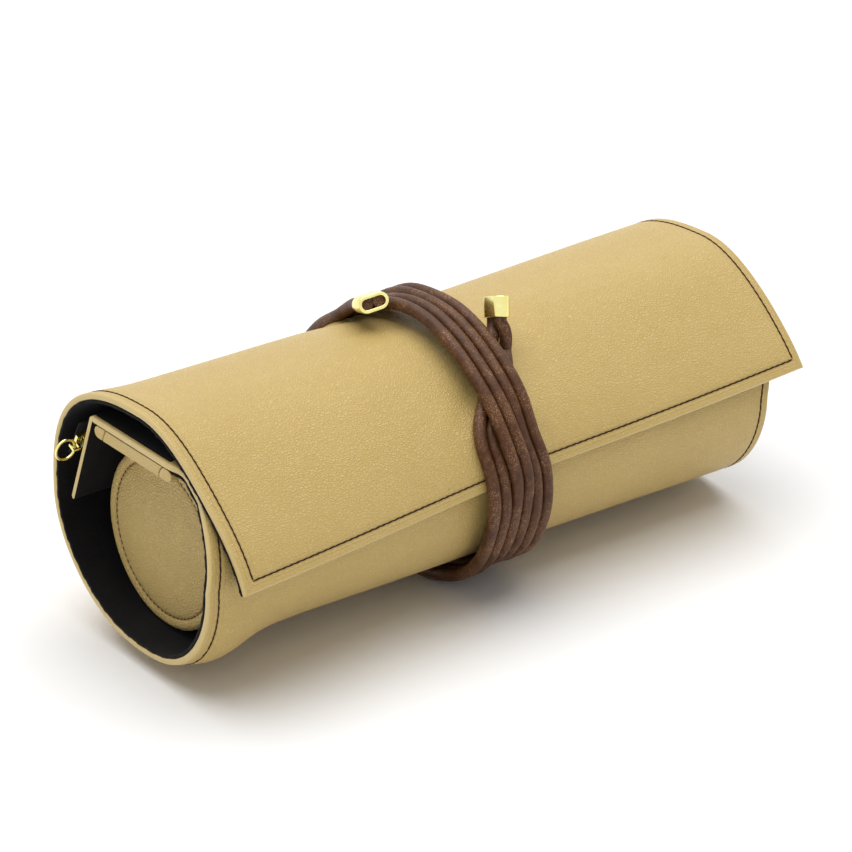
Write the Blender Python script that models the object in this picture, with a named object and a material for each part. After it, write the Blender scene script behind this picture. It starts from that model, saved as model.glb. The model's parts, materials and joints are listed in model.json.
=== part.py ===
# Rolled leather jewelry roll, tied with a doubled leather cord.
# Lengths are metres. X runs along the roll, -Y is the front where the flap ends, Z is up.
# An angle around the roll is 0 at the front, 90 underneath, 180 at the back and 270 on top.

import math

import bmesh
import bpy
import numpy as np

mm = 0.001

# Leather sheet
sheet_length = 239.1 * mm
left_end = -120.3 * mm
front_trim = 4 * mm
cover_thickness = 2.2 * mm
lining_thickness = 0.8 * mm
lining_inset = 0.3 * mm
flap_end_angle = 359.5
flap_end_slant = 10.0
edge_skew = 8 * mm

# Ring bolster in the middle of the roll
bolster_diameter = 61.4 * mm
bolster_length = 204 * mm
bolster_inset = 15.2 * mm
sleeve_thickness = 1.6 * mm
end_thickness = 1.8 * mm
end_crown = 1.6 * mm
board_thickness = 1.5 * mm
stitch_inset = 4 * mm

# Flat pocket panel on top of the bolster
panel_length = 225 * mm
panel_width = 42.8 * mm
panel_thickness = 4.3 * mm
panel_inset = 5.5 * mm
binding_width = 5.5 * mm

# Divider flap over the panel
divider_thickness = 2 * mm
divider_back = 24 * mm
divider_front = 16.5 * mm
corner_points = 7
leaf_thickness = 2 * mm
leaf_length = 35.5 * mm
leaf_lean = 20.6
layer_tilt = 0.8

# Room around the bolster, which sets the outer size
back_room = 12.1 * mm
front_room = 12.2 * mm
head_room = 7.2 * mm
top_share = 0.525
back_fullness = 2.7
front_fullness = 1.7
bottom_fullness = 1.92
waist_depth = 1.7 * mm
waist_place = 18 * mm
waist_width = 60 * mm
waist_angle = 235.0
waist_sharpness = 1.5
shoulder_drop = 0.5 * mm
mouth_lift = 1.6 * mm
mouth_reach = 12 * mm
bulge_height = 4.6 * mm
bulge_place = 12 * mm
bulge_width = 14 * mm
bulge_angle = 50.0
sag = 1.8 * mm
sag_angle = 58.0
sag_span = 60.0
sag_reach = 100 * mm
least_sag = -0.7
front_start = -52.0
step_span = 70.0
skew_span = 40.0
corner_pull = 0.42

# Shape of the outer flap
flap_flattening = 1.2 * mm
flat_angle = 315.0
flat_span = 38.0
flap_flare = 4.2 * mm
flare_start = 325.0
flare_span = 32.0
flare_reach = 66 * mm

# Tie
tie_place = 0.5 * mm
cord_diameter = 3.9 * mm
cord_gap = 0.54 * mm
cord_seat = 0.8 * mm
crossing_gap = 0.9 * mm
tie_pinch = 0.6 * mm
pinch_width = 22 * mm
pinch_angle = 315.0
pinch_sharpness = 1.2
ferrule_length = 7 * mm
ferrule_wall = 0.7 * mm
ferrule_recess = 1.2 * mm

# Course of the tie: angles where it starts at the back, dives under its laps and comes up
tail_start = 232.5
tuck_start = -712.5
tuck_end = -780.0
tuck_delay = 22.0
tuck_span = 40.0
tail_reach = 11.3 * mm
tuck_reach = 22.6 * mm
tucked_twist = 78.0
bottom_lean = 4.5 * mm
bottom_lean_start, bottom_lean_in = 8.0, 45.0
bottom_lean_end, bottom_lean_out = 185.0, 60.0
top_lean = -2.2 * mm
top_lean_start, top_lean_in = 190.0, 50.0
top_lean_end, top_lean_out = 356.0, 20.0

# Where the first stretch runs outside the laps at the back
first_end = 90.0
drift_start, drift_span = 205.0, 75.0
cross_start, cross_climb = 212.0, 20.0
cross_end, cross_drop = 106.0, 26.0

# Where each lap rises over the tucked end at the front, and steps aside at the back
hump_start, hump_end, hump_climb = -8.0, 134.0, 38.0
hump_delay = 8.0
aside_start, aside_span = 140.0, 90.0

# Where the leftmost lap hangs lower underneath, as a share of a layer
loose_lift = 0.4
loose_start, loose_end, loose_climb = -598.0, -700.0, 42.0

# Free tails, in millimetres from the tie's middle and the roll's section centre
top_tail = [(-14.8, 9.3, 51.8), (-13.1, 15.3, 49.4), (-11.4, 21, 46.7), (-10.8, 26, 43)]
tucked_tail = [(14.6, -20.6, 42.7), (15.8, -17.9, 45.8), (17.8, -15.2, 52.4)]

# Zip on the lining behind the leaf
zip_inset = 5.9 * mm
zip_length = 194 * mm
zip_angle = 209.0
zip_reach = 4.0
tape_width = 7 * mm
tape_thickness = 0.4 * mm
teeth_width = 1.9 * mm
teeth_thickness = 1.1 * mm
teeth_pitch = 3 * mm
tooth_root = 0.45
slider_length = 8 * mm
slider_width = 7 * mm
slider_plate = 0.5 * mm
ring_diameter = 8.2 * mm
ring_wire = 0.9 * mm
ring_turn = 20.0
eye_slack = 0.52 * mm
bail_plate = 0.45 * mm
bail_width = 1 * mm
bail_root = 1 * mm
bail_step = 0.15 * mm
stop_length = 2 * mm

# Running gap between neighbouring pieces
clearance = 0.3 * mm

# Steps of the meshes
sheet_steps = 7.5
loop_points = 24
tail_steps = 3

# Derived sizes
wall = cover_thickness + lining_thickness + 2 * clearance
wrap_step = wall + 2 * clearance
bolster_radius = bolster_diameter / 2
stack = (bolster_diameter + panel_thickness + divider_thickness + 3 * clearance
         + head_room + 2 * wall)
top_height = stack * top_share
bottom_height = stack - top_height
half_width = (bolster_diameter + back_room + front_room + 2 * wall + wrap_step) / 2
bolster_y = half_width - wall - back_room - bolster_radius
bolster_left = left_end + bolster_inset
bolster_right = bolster_left + bolster_length
cord_radius = cord_diameter / 2
cord_pitch = cord_diameter + cord_gap
pair_pitch = 2 * cord_pitch
layer_pitch = cord_diameter + crossing_gap
ferrule_width = 2 * cord_pitch + 2 * (ferrule_wall + clearance)
ferrule_height = cord_diameter + 2 * (ferrule_wall + clearance)


def smooth(t):
    t = min(max(t, 0.0), 1.0)
    return t * t * (3 - 2 * t)


def material(name, color, roughness, metallic=0.0):
    mat = bpy.data.materials.new(name)
    mat.use_nodes = True
    shader = mat.node_tree.nodes["Principled BSDF"]
    shader.inputs["Base Color"].default_value = (*color, 1.0)
    shader.inputs["Roughness"].default_value = roughness
    shader.inputs["Metallic"].default_value = metallic
    mat.diffuse_color = (*color, 1.0)
    return mat


def add_mesh(name, verts, faces, mat):
    mesh = bpy.data.meshes.new(name)
    mesh.from_pydata([tuple(v) for v in verts], [], faces)
    bm = bmesh.new()
    bm.from_mesh(mesh)
    bmesh.ops.recalc_face_normals(bm, faces=bm.faces)
    bm.to_mesh(mesh)
    bm.free()
    mesh.materials.append(mat)
    mesh.shade_smooth()
    mesh.set_sharp_from_angle(angle=math.radians(35))
    obj = bpy.data.objects.new(name, mesh)
    bpy.context.scene.collection.objects.link(obj)
    return obj


# The roll's outer section

def section_radius(angle, x):
    # Rounded-box section, fuller at the back of the top and straighter at its front
    a = math.radians(angle)
    above, behind = math.sin(a) < 0, math.cos(a) < 0
    height = top_height if above else bottom_height
    fullness = bottom_fullness
    if above:
        fullness = back_fullness if behind else front_fullness
    c = (abs(math.cos(a)) / half_width) ** fullness
    s = (abs(math.sin(a)) / height) ** fullness
    sunk = max(0.0, math.cos(math.radians(angle - waist_angle))) ** waist_sharpness
    return (c + s) ** (-1 / fullness) - sunk * waist(x) + sagging(angle, x)


def waist(x):
    # The back of the top sinks from the open left end towards the tie
    sunk = waist_depth * math.exp(-((x - waist_place) / waist_width) ** 2)
    lift = mouth_lift * math.exp(-((x - left_end) / mouth_reach) ** 2)
    return sunk + shoulder_drop * smooth((x - left_end) / waist_width) - lift


def bulge(angle, x):
    # The front swells out below the flap, just inside the left end
    near = math.exp(-((x - left_end - bulge_place) / bulge_width) ** 2)
    return bulge_height * near * smooth(1 - abs(angle - bulge_angle) / bulge_angle)


def sagging(angle, x):
    # Below the flap the roll is slimmer on the left of the tie and fuller on its right
    share = max(least_sag, (x - tie_place) / sag_reach)
    return sag * share * smooth(1 - abs(angle - sag_angle) / sag_span)


def pinch(angle, x):
    # The dent that the tie presses into the top and the front
    around = (0.5 + 0.5 * math.cos(math.radians(angle - pinch_angle))) ** pinch_sharpness
    return tie_pinch * around * math.exp(-((x - tie_place) / pinch_width) ** 2)


def flattening(angle):
    # The flap runs straighter than the round section between the top and the front
    return flap_flattening * smooth(1 - abs(angle % 360 - flat_angle) / flat_span)


def flare(angle, x):
    # Past the tie both corners of the flap stand off the front
    free = 1 - math.exp(-((x - tie_place) / flare_reach) ** 2)
    return flap_flare * free * max(0.0, (angle - flare_start) / flare_span) ** 2


def outer_radius(angle, x):
    # Outer face of the cover, from the front layer under the flap out to the flap's end
    base = section_radius(angle, x) - pinch(angle, x) - flattening(angle)
    step = wrap_step * (1 - smooth(angle / step_span))
    return base - step + flare(angle, x) + bulge(angle, x)


def ring_point(angle, radius):
    a = math.radians(angle)
    return np.array([-radius * math.cos(a), -radius * math.sin(a)])


def offset_path(points, distance):
    # The path moved to its inner side by a distance
    moved = []
    for i, p in enumerate(points):
        a = points[max(i - 1, 0)]
        b = points[min(i + 1, len(points) - 1)]
        t = (b - a) / np.linalg.norm(b - a)
        moved.append(p + distance * np.array([-t[1], t[0]]))
    return moved


def flap_angle(along):
    # The flap ends lower at the left than at the right, because the sheet is wound askew
    return flap_end_angle - flap_end_slant * along


def wound_angles(along):
    count = int(round((flap_end_angle - front_start) / sheet_steps))
    return np.linspace(front_start, flap_angle(along), count)


def wound_path(along):
    # The cover's outer face at a share of its length, from the front layer to the flap's end
    x = left_end + sheet_length * along
    return [ring_point(a, outer_radius(a, x)) for a in wound_angles(along)]


# The bolster rests on the lining's inner face

lining_face = offset_path(wound_path(0.0), wall - clearance)


def bolster_height():
    reach = bolster_radius + 1.5 * clearance
    best = -1.0
    for a, b in zip(lining_face, lining_face[1:]):
        for share in (0.0, 0.25, 0.5, 0.75):
            y, z = a + (b - a) * share
            side = reach ** 2 - (y - bolster_y) ** 2
            if side > 0 and z < 0:
                best = max(best, z + math.sqrt(side))
    return best


bolster_z = bolster_height()
tilt = math.radians(layer_tilt)
panel_bottom = bolster_radius + clearance
panel_top = panel_bottom + panel_thickness
divider_bottom = panel_top + clearance
divider_top = divider_bottom + divider_thickness


def layer_point(along, up):
    # Places on the tilted layers above the bolster: along to the back, up from its axis
    y = bolster_y + along * math.cos(tilt) - up * math.sin(tilt)
    z = bolster_z + along * math.sin(tilt) + up * math.cos(tilt)
    return np.array([y, z])


def bezier(p0, p1, p2, p3, count):
    t = np.linspace(0, 1, count)[:, None]
    return list((1 - t) ** 3 * p0 + 3 * t * (1 - t) ** 2 * p1
                + 3 * t ** 2 * (1 - t) * p2 + t ** 3 * p3)


def corner_path(wound):
    # The bend from the divider, over the panel's front edge, into the front layer
    first = wound[0]
    heading = wound[0] - wound[1]
    heading /= np.linalg.norm(heading)
    last = layer_point(-divider_front, divider_top)
    level = layer_point(-divider_front - 1 * mm, divider_top) - last
    level /= np.linalg.norm(level)
    reach = corner_pull * np.linalg.norm(last - first)
    return bezier(last, last + level * reach, first + heading * reach, first, corner_points)[:-1]


def edge_shift(angle, bend):
    # The winding climbs to the right, and in the bend it comes back to the divider's end
    if angle >= 0:
        return edge_skew * angle / 360
    return edge_skew * min(1.0, -angle / skew_span) * (1 - bend) + panel_inset * bend


def sheet_span(angle):
    # The sheet is a little shorter at the front layer than at the flap
    return sheet_length - front_trim * smooth(1 - angle / 180)


def sheet_stations():
    # Shares of the length, closer together where the tie dents the leather
    tie_share = (tie_place - left_end) / sheet_length
    near = pinch_width / sheet_length
    left = [tie_share * s for s in (0.0, 0.3, 0.6)]
    middle = [tie_share + near * s for s in (-0.8, -0.4, 0.0, 0.4, 0.8)]
    right = [tie_share + (1 - tie_share) * s for s in (0.4, 0.7, 1.0)]
    return left + middle + right


def wrap_solid(name, grids, mat):
    # A sheet as a closed solid between its outer and its inner grid of points
    rows, count = len(grids[0]), len(grids[0][0])
    verts = [tuple(p) for grid in grids for row in grid for p in row]

    def at(face, r, k):
        return (face * rows + r) * count + k

    faces = []
    last, end = count - 1, rows - 1
    for r in range(end):
        for k in range(last):
            faces.append((at(0, r, k), at(0, r, k + 1), at(0, r + 1, k + 1), at(0, r + 1, k)))
            faces.append((at(1, r, k), at(1, r + 1, k), at(1, r + 1, k + 1), at(1, r, k + 1)))
        for k in (0, last):
            faces.append((at(0, r, k), at(0, r + 1, k), at(1, r + 1, k), at(1, r, k)))
    for k in range(last):
        for r in (0, end):
            faces.append((at(0, r, k), at(1, r, k), at(1, r, k + 1), at(0, r, k + 1)))
    return add_mesh(name, verts, faces, mat)


def sheet(name, depth, thickness, inset, corner, mat):
    # A layer of the cover at a depth below its outer face
    grids = ([], [])
    for share in sheet_stations():
        path = wound_path(share)
        angles = list(wound_angles(share))
        bend = corner_path(path)
        path = bend + path
        bends = [1 - smooth(k / len(bend)) for k in range(len(bend))] + [0.0] * len(angles)
        angles = [front_start] * len(bend) + angles
        outer = offset_path(path, depth)
        inner = offset_path(path, depth + thickness)
        skip = 0 if corner else corner_points
        for grid, points in zip(grids, (outer, inner)):
            row = []
            for angle, near, p in list(zip(angles, bends, points))[skip:]:
                along = (sheet_span(angle) - 2 * inset) * share
                row.append((left_end + inset + edge_shift(angle, near) + along, *p))
            if not corner:
                a, b = np.array(row[-2]), np.array(row[-1])
                row[-1] = tuple(b + (a - b) * inset / np.linalg.norm(a - b))
            grid.append(row)
    return wrap_solid(name, grids, mat)


# Straight pieces with one section along X

def extrude_along_x(name, outline, x0, x1, mat):
    count = len(outline)
    verts = [(x0, *p) for p in outline] + [(x1, *p) for p in outline]
    faces = [tuple(range(count)), tuple(range(count, 2 * count))[::-1]]
    faces += [(k, (k + 1) % count, count + (k + 1) % count, count + k) for k in range(count)]
    return add_mesh(name, verts, faces, mat)


def layer_outline(along0, along1, up0, up1, round0=0.0, round1=0.0):
    # Outline on the tilted layers, with half-round ends where a rounding is given
    points = []
    for along, side, rounding in ((along1, 1, round1), (along0, -1, round0)):
        centre_along = along - side * rounding
        steps = 7 if rounding else 2
        for i in range(steps):
            turn = -math.pi / 2 + math.pi * i / (steps - 1)
            up = (up0 + up1) / 2 + side * (up1 - up0) / 2 * math.sin(turn)
            points.append(layer_point(centre_along + side * rounding * math.cos(turn), up))
    return points


# Solids turned about the bolster's axis

def turned_along_x(name, profile, mat, steps=48):
    # Profile points are (x, radius), radius 0 first and last on a solid piece
    verts, faces, rings = [], [], []
    for x, radius in profile:
        if radius < 1e-6:
            rings.append([len(verts)])
            verts.append((x, bolster_y, bolster_z))
            continue
        ring = []
        for i in range(steps):
            a = 2 * math.pi * i / steps
            ring.append(len(verts))
            verts.append((x, bolster_y + radius * math.cos(a), bolster_z + radius * math.sin(a)))
        rings.append(ring)
    closed = profile[0][1] > 1e-6
    pairs = list(zip(rings, rings[1:])) + ([(rings[-1], rings[0])] if closed else [])
    for a, b in pairs:
        for i in range(steps):
            j = (i + 1) % steps
            if len(a) == 1:
                faces.append((a[0], b[i], b[j]))
            elif len(b) == 1:
                faces.append((a[i], b[0], a[j]))
            else:
                faces.append((a[i], b[i], b[j], a[j]))
    return add_mesh(name, verts, faces, mat)


# Tie

def wrap_radius(angle, x):
    # The round that the cords lie on, bridging the step below the flap's end
    return section_radius(angle, x) - pinch(angle, x) - flattening(angle)


def sideways(turn, leans=True):
    # The laps lie further to the right underneath and lean to the left over the top
    if turn < bottom_lean_end:
        return (bottom_lean * smooth((turn - bottom_lean_start) / bottom_lean_in)
                * smooth((bottom_lean_end - turn) / bottom_lean_out))
    over = (smooth((top_lean_end - turn) / top_lean_out)
            * smooth((turn - top_lean_start) / top_lean_in))
    return top_lean * over if leans else 0.0


def slack(wound):
    return (loose_lift * smooth((loose_start - wound) / loose_climb)
            * smooth((wound - loose_end) / loose_climb))


def pair_place(wound):
    # Place from the tie's middle, and layer, at an angle that falls along the winding
    turn = wound % 360
    if wound > first_end:
        # The first stretch comes from the tail on top and crosses outside the laps at the back
        share = smooth((drift_start - wound) / drift_span)
        place = -tail_reach + share * (tail_reach + pair_pitch) + sideways(turn) * share
        climb, drop = (cross_start - wound) / cross_climb, (wound - cross_end) / cross_drop
        return place, smooth(climb) * smooth(drop)
    lap, rest = divmod(first_end - wound, 360)
    lap, rise = int(lap), rest - first_end
    if lap < 2:
        # A whole lap steps over the tucked end at the front, and one place left at the back
        place = pair_pitch * (1 - lap - smooth((rise - aside_start) / aside_span))
        late = hump_delay * (1 - lap)
        up = (rise - hump_start - 2 * late) / hump_climb
        down = (hump_end + late - rise) / hump_climb
        return place + sideways(turn), smooth(up) * smooth(down) + slack(wound)
    # The last lap stays under the others and crosses to the right
    share = max(0.0, rise - tuck_delay) / tuck_span
    return tuck_reach * smooth(share) - pair_pitch + sideways(turn, False), slack(wound)


def route_points():
    points = []
    step = 360 / loop_points
    laid = list(np.arange(tail_start, tuck_start, -step))
    for wound in laid + list(np.arange(tuck_start, tuck_end - 0.1, -step / 2)):
        place, layer = pair_place(wound)
        x = tie_place + place
        radius = wrap_radius(wound % 360, x) + cord_seat + cord_radius + layer * layer_pitch
        y, z = ring_point(wound, radius)
        points.append(np.array([x, y, z]))
    return points


def smooth_curve(points, per_span):
    # Points of a Catmull-Rom curve through a route
    pts = [2 * points[0] - points[1]] + list(points) + [2 * points[-1] - points[-2]]
    out = []
    for i in range(1, len(pts) - 2):
        p0, p1, p2, p3 = pts[i - 1:i + 3]
        for k in range(per_span):
            t = k / per_span
            out.append(0.5 * (2 * p1 + (p2 - p0) * t + (2 * p0 - 5 * p1 + 4 * p2 - p3) * t ** 2
                              + (3 * p1 - p0 - 3 * p2 + p3) * t ** 3))
    out.append(pts[-2])
    return out


def pair_route():
    # The whole middle line of the pair, and the count of points in its tails
    def placed(tail):
        return [np.array([x * mm + tie_place, y * mm, z * mm]) for x, y, z in tail]

    loops = route_points()
    head = smooth_curve(placed(top_tail) + loops[:2], tail_steps)[:-tail_steps]
    foot = smooth_curve(loops[-2:] + placed(tucked_tail), tail_steps)[tail_steps:]
    for k in range(1, tail_steps):
        # Both ends run straight through their ferrules
        share = k / tail_steps
        head[k] = head[0] + (head[tail_steps] - head[0]) * share
        foot[-1 - k] = foot[-1] + (foot[-1 - tail_steps] - foot[-1]) * share
    return head[:-1] + loops + foot[1:], len(head) - 1, len(foot) - 1


def pair_frames(points, head, foot):
    # Each point's direction, and the direction in which the two cords lie side by side
    count = len(points)
    tangents = []
    for i in range(count):
        t = points[min(i + 1, count - 1)] - points[max(i - 1, 0)]
        tangents.append(t / np.linalg.norm(t))
    sides = [None] * count
    for i in range(head, count - foot):
        outward = np.array([0.0, points[i][1], points[i][2]])
        side = np.cross(tangents[i], outward)
        sides[i] = side / np.linalg.norm(side)
    # The tails carry the last laid direction along, and the tucked one turns a little
    for i in list(range(head - 1, -1, -1)) + list(range(count - foot, count)):
        last = sides[i + 1] if i < head else sides[i - 1]
        side = last - tangents[i] * np.dot(last, tangents[i])
        side /= np.linalg.norm(side)
        twists = head < i < count - tail_steps
        turn = math.radians(tucked_twist) / (foot - tail_steps) if twists else 0.0
        sides[i] = side * math.cos(turn) - np.cross(tangents[i], side) * math.sin(turn)
    return tangents, sides


def cord(name, points, mat):
    curve = bpy.data.curves.new(name + "_line", "CURVE")
    curve.dimensions = "3D"
    curve.bevel_depth = cord_radius
    curve.bevel_resolution = 1
    curve.use_fill_caps = True
    spline = curve.splines.new("POLY")
    spline.points.add(len(points) - 1)
    for i, p in enumerate(points):
        spline.points[i].co = (*p, 1.0)
    line = bpy.data.objects.new(name + "_line", curve)
    mesh = bpy.data.meshes.new_from_object(line)
    mesh.name = name
    bpy.data.objects.remove(line)
    mesh.materials.clear()
    mesh.materials.append(mat)
    obj = bpy.data.objects.new(name, mesh)
    bpy.context.scene.collection.objects.link(obj)
    return obj


def combine(obj, other, operation):
    # Adds another solid to an object or cuts it off, as one body
    step = obj.modifiers.new("combine", "BOOLEAN")
    step.operation = operation
    step.solver = "EXACT"
    step.object = other
    bpy.context.view_layer.update()
    graph = bpy.context.evaluated_depsgraph_get()
    mesh = bpy.data.meshes.new_from_object(obj.evaluated_get(graph))
    obj.modifiers.clear()
    obj.data = mesh


def flatten_foot(objects, depth):
    # The cords that the roll stands on are pressed flat underneath
    points = np.array([v.co for obj in objects for v in obj.data.vertices])
    low, high = points.min(axis=0) - depth, points.max(axis=0) + depth
    high[2] = low[2] + 2 * depth
    verts = [(x, y, z) for x in (low[0], high[0]) for y in (low[1], high[1])
             for z in (low[2], high[2])]
    faces = [(0, 1, 3, 2), (4, 6, 7, 5), (0, 4, 5, 1), (2, 3, 7, 6), (0, 2, 6, 4), (1, 5, 7, 3)]
    ground = add_mesh("ground", verts, faces, objects[0].data.materials[0])
    for obj in objects:
        combine(obj, ground, "DIFFERENCE")
        obj.data.shade_smooth()
        obj.data.set_sharp_from_angle(angle=math.radians(70))
    bpy.data.objects.remove(ground)


def least_gap(a, b, own):
    # Least gap between two cords' faces, or between the turns of one cord
    best = 1.0
    reach = loop_points // 4
    for i, p in enumerate(a):
        for j in range(len(b) - 1):
            if own and abs(i - j) < reach:
                continue
            d = b[j + 1] - b[j]
            t = min(max(np.dot(p - b[j], d) / np.dot(d, d), 0.0), 1.0)
            best = min(best, np.linalg.norm(p - b[j] - t * d))
    return best - cord_diameter


def ferrule(name, point, direction, side, mat):
    # A flat-oval collar, open at both ends, with its middle on the pair's middle
    up = np.cross(side, direction)
    verts, faces = [], []
    steps = 8

    def oval(width, height, along):
        radius = height / 2
        for half, sign in ((0, 1), (1, -1)):
            for i in range(steps + 1):
                a = math.pi * (-0.5 + i / steps)
                u = sign * ((width / 2 - radius) + radius * math.cos(a))
                v = sign * radius * math.sin(a)
                verts.append(point + direction * along + side * u + up * v)

    inner = (ferrule_width - 2 * ferrule_wall, ferrule_height - 2 * ferrule_wall)
    outer = (ferrule_width, ferrule_height)
    half = ferrule_length / 2
    for size, along in ((outer, -half), (outer, half), (inner, half), (inner, -half)):
        oval(*size, along)
    count = 2 * (steps + 1)
    for ring in range(4):
        for k in range(count):
            n = (k + 1) % count
            a, b = ring * count, ((ring + 1) % 4) * count
            faces.append((a + k, a + n, b + n, b + k))
    return add_mesh(name, verts, faces, mat)


# Zip pieces stand on the lining at one angle around the roll

def narrow_lining(angle):
    # The lining's inner face where the roll's waist is narrowest
    return ring_point(angle, outer_radius(angle, waist_place) - wall + clearance)


def zip_frame():
    # Middle of the zip on the lining, the way up along the wall, and the way in
    middle = narrow_lining(zip_angle)
    along = narrow_lining(zip_angle + zip_reach) - narrow_lining(zip_angle - zip_reach)
    along /= np.linalg.norm(along)
    inward = np.array([-along[1], along[0]])
    return middle, along, inward


def zip_floor():
    # How far the curved wall rises above the zip's flat frame, under the tapes
    middle, along, inward = zip_frame()
    rise = 0.0
    for a in np.arange(zip_angle - 4 * zip_reach, zip_angle + 4 * zip_reach, 1.0):
        offset = narrow_lining(a) - middle
        if abs(np.dot(offset, along)) < tape_width + 2 * clearance:
            rise = max(rise, np.dot(offset, inward))
    return rise


def zip_point(up, height):
    middle, along, inward = zip_frame()
    return middle + along * up + inward * height


def zip_box(name, x0, x1, up0, up1, low, high, mat):
    outline = [zip_point(up0, low), zip_point(up1, low), zip_point(up1, high), zip_point(up0, high)]
    return extrude_along_x(name, outline, x0, x1, mat)


def zip_teeth(name, side, x0, x1, mat):
    # One row of teeth: a strip whose inner edge steps in and out
    count = int((x1 - x0) / teeth_pitch)
    root, tip = side * teeth_width, side * clearance / 2
    mid = side * teeth_width * tooth_root
    edge = []
    shift = 0.0 if side > 0 else 0.5 * teeth_pitch
    for i in range(count):
        start = x0 + i * teeth_pitch + shift * 0.5
        edge += [(start, mid), (start + 0.2 * teeth_pitch, tip),
                 (start + 0.45 * teeth_pitch, tip), (start + 0.65 * teeth_pitch, mid)]
    outline = [(x0 - clearance, root)] + [(x0 - clearance, mid)] + edge + [(x1, mid), (x1, root)]
    size = len(outline)
    verts = []
    for height in (teeth_low, teeth_high):
        for x, up in outline:
            verts.append((x, *zip_point(up, height)))
    faces = [tuple(range(size)), tuple(range(size, 2 * size))[::-1]]
    faces += [(k, (k + 1) % size, size + (k + 1) % size, size + k) for k in range(size)]
    return add_mesh(name, verts, faces, mat)


# Sub-parts

def build_cover(leather, suede):
    sheet("outer_cover", 0.0, cover_thickness, 0.0, True, leather)
    sheet("cover_lining", cover_thickness + clearance, lining_thickness, lining_inset, False, suede)


def build_bolster(leather, foam, board):
    disc, flat = end_thickness, bolster_radius - stitch_inset
    for name, x, way in (("bolster_end_left", bolster_left, 1),
                         ("bolster_end_right", bolster_right, -1)):
        # A stitched flat rim around a padded middle
        crown = [(x - way * end_crown * (1 - s * s), flat * s) for s in (0.0, 0.35, 0.65, 0.88)]
        rim = [(x, flat), (x, bolster_radius), (x + way * disc, bolster_radius)]
        turned_along_x(name, crown + rim + [(x + way * disc, 0.0)], leather)
    inside = bolster_radius - sleeve_thickness
    x0 = bolster_left + disc + clearance
    x1 = bolster_right - disc - clearance
    turned_along_x("bolster_sleeve", [(x0, bolster_radius), (x1, bolster_radius),
                                      (x1, inside), (x0, inside)], leather)
    packed = inside - clearance
    for name, a, b in (("bolster_board_left", x0, x0 + board_thickness),
                       ("bolster_board_right", x1 - board_thickness, x1)):
        turned_along_x(name, [(a, 0.0), (a, packed), (b, packed), (b, 0.0)], board)
    a = x0 + board_thickness + clearance
    b = x1 - board_thickness - clearance
    turned_along_x("bolster_filling", [(a, 0.0), (a, packed), (b, packed), (b, 0.0)], foam)


def build_panel(leather):
    # Pocket panel with its two bound edges, and the divider flap over it
    front = divider_back - panel_width
    edge0, edge1 = front + binding_width, divider_back - binding_width
    round_end = panel_thickness / 2
    body = layer_outline(edge0 + clearance, edge1 - clearance, panel_bottom, panel_top)
    fore = layer_outline(front, edge0, panel_bottom, panel_top, round_end)
    rear = layer_outline(edge1, divider_back, panel_bottom, panel_top, 0.0, round_end)
    flap = layer_outline(1.5 * clearance - divider_front, divider_back, divider_bottom, divider_top)
    for name, outline in (("panel_body", body), ("panel_binding_front", fore),
                          ("panel_binding_back", rear)):
        extrude_along_x(name, outline, layer_left, layer_left + panel_length, leather)
    extrude_along_x("divider_flap", flap, layer_left, layer_right, leather)


def leaf_outline(lean):
    # Section of the leaf about its hinge: a bend over the panel's edge and a straight drop
    down = np.array([math.sin(lean), -math.cos(lean)])
    out = np.array([math.cos(lean), math.sin(lean)])
    reach = 2 * clearance + leaf_thickness
    first, last = math.pi / 2 + tilt, lean
    outline = []
    for i in range(7):
        turn = first + (last - first) * i / 6
        far = divider_thickness + (reach - divider_thickness) * i / 6
        outline.append(far * np.array([math.cos(turn), math.sin(turn)]))
    inner = out * (reach - leaf_thickness)
    outline += [out * reach + down * leaf_length, inner + down * leaf_length, inner]
    return outline + [np.array([0.0, 0.0])]


def build_leaf(leather):
    hinge = layer_point(divider_back + clearance, divider_bottom)
    outline = leaf_outline(math.radians(leaf_lean))
    leaf = extrude_along_x("divider_leaf", outline, layer_left, layer_right, leather)
    leaf.location = (0.0, *hinge)


def build_zip(cloth, brass):
    for name, side in (("zip_tape_upper", 1), ("zip_tape_lower", -1)):
        up = sorted((side * clearance, side * (clearance + tape_width)))
        zip_box(name, zip_left, zip_right, *up, tape_low, tape_high, cloth)
    teeth_left = zip_left + stop_length + 2 * clearance
    teeth_right = zip_right - stop_length - 2 * clearance
    zip_teeth("zip_teeth_upper", 1, teeth_left, teeth_right, brass)
    zip_teeth("zip_teeth_lower", -1, teeth_left, teeth_right, brass)
    for name, x0 in (("zip_stop_left", zip_left), ("zip_stop_right", zip_right - stop_length)):
        zip_box(name, x0, x0 + stop_length, -teeth_width, teeth_width, teeth_low, teeth_high, brass)
    side, lip = slider_width / 2, teeth_width + clearance
    roof, top = slider_roof, slider_roof + slider_plate
    outline = [zip_point(-side, teeth_low), zip_point(-lip, teeth_low), zip_point(-lip, roof),
               zip_point(lip, roof), zip_point(lip, teeth_low), zip_point(side, teeth_low),
               zip_point(side, top), zip_point(-side, top)]
    slider = extrude_along_x("zip_slider", outline, teeth_left, teeth_left + slider_length, brass)
    bail = build_bail(teeth_left, brass)
    combine(slider, bail, "UNION")
    bpy.data.objects.remove(bail)
    build_ring(brass)


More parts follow.
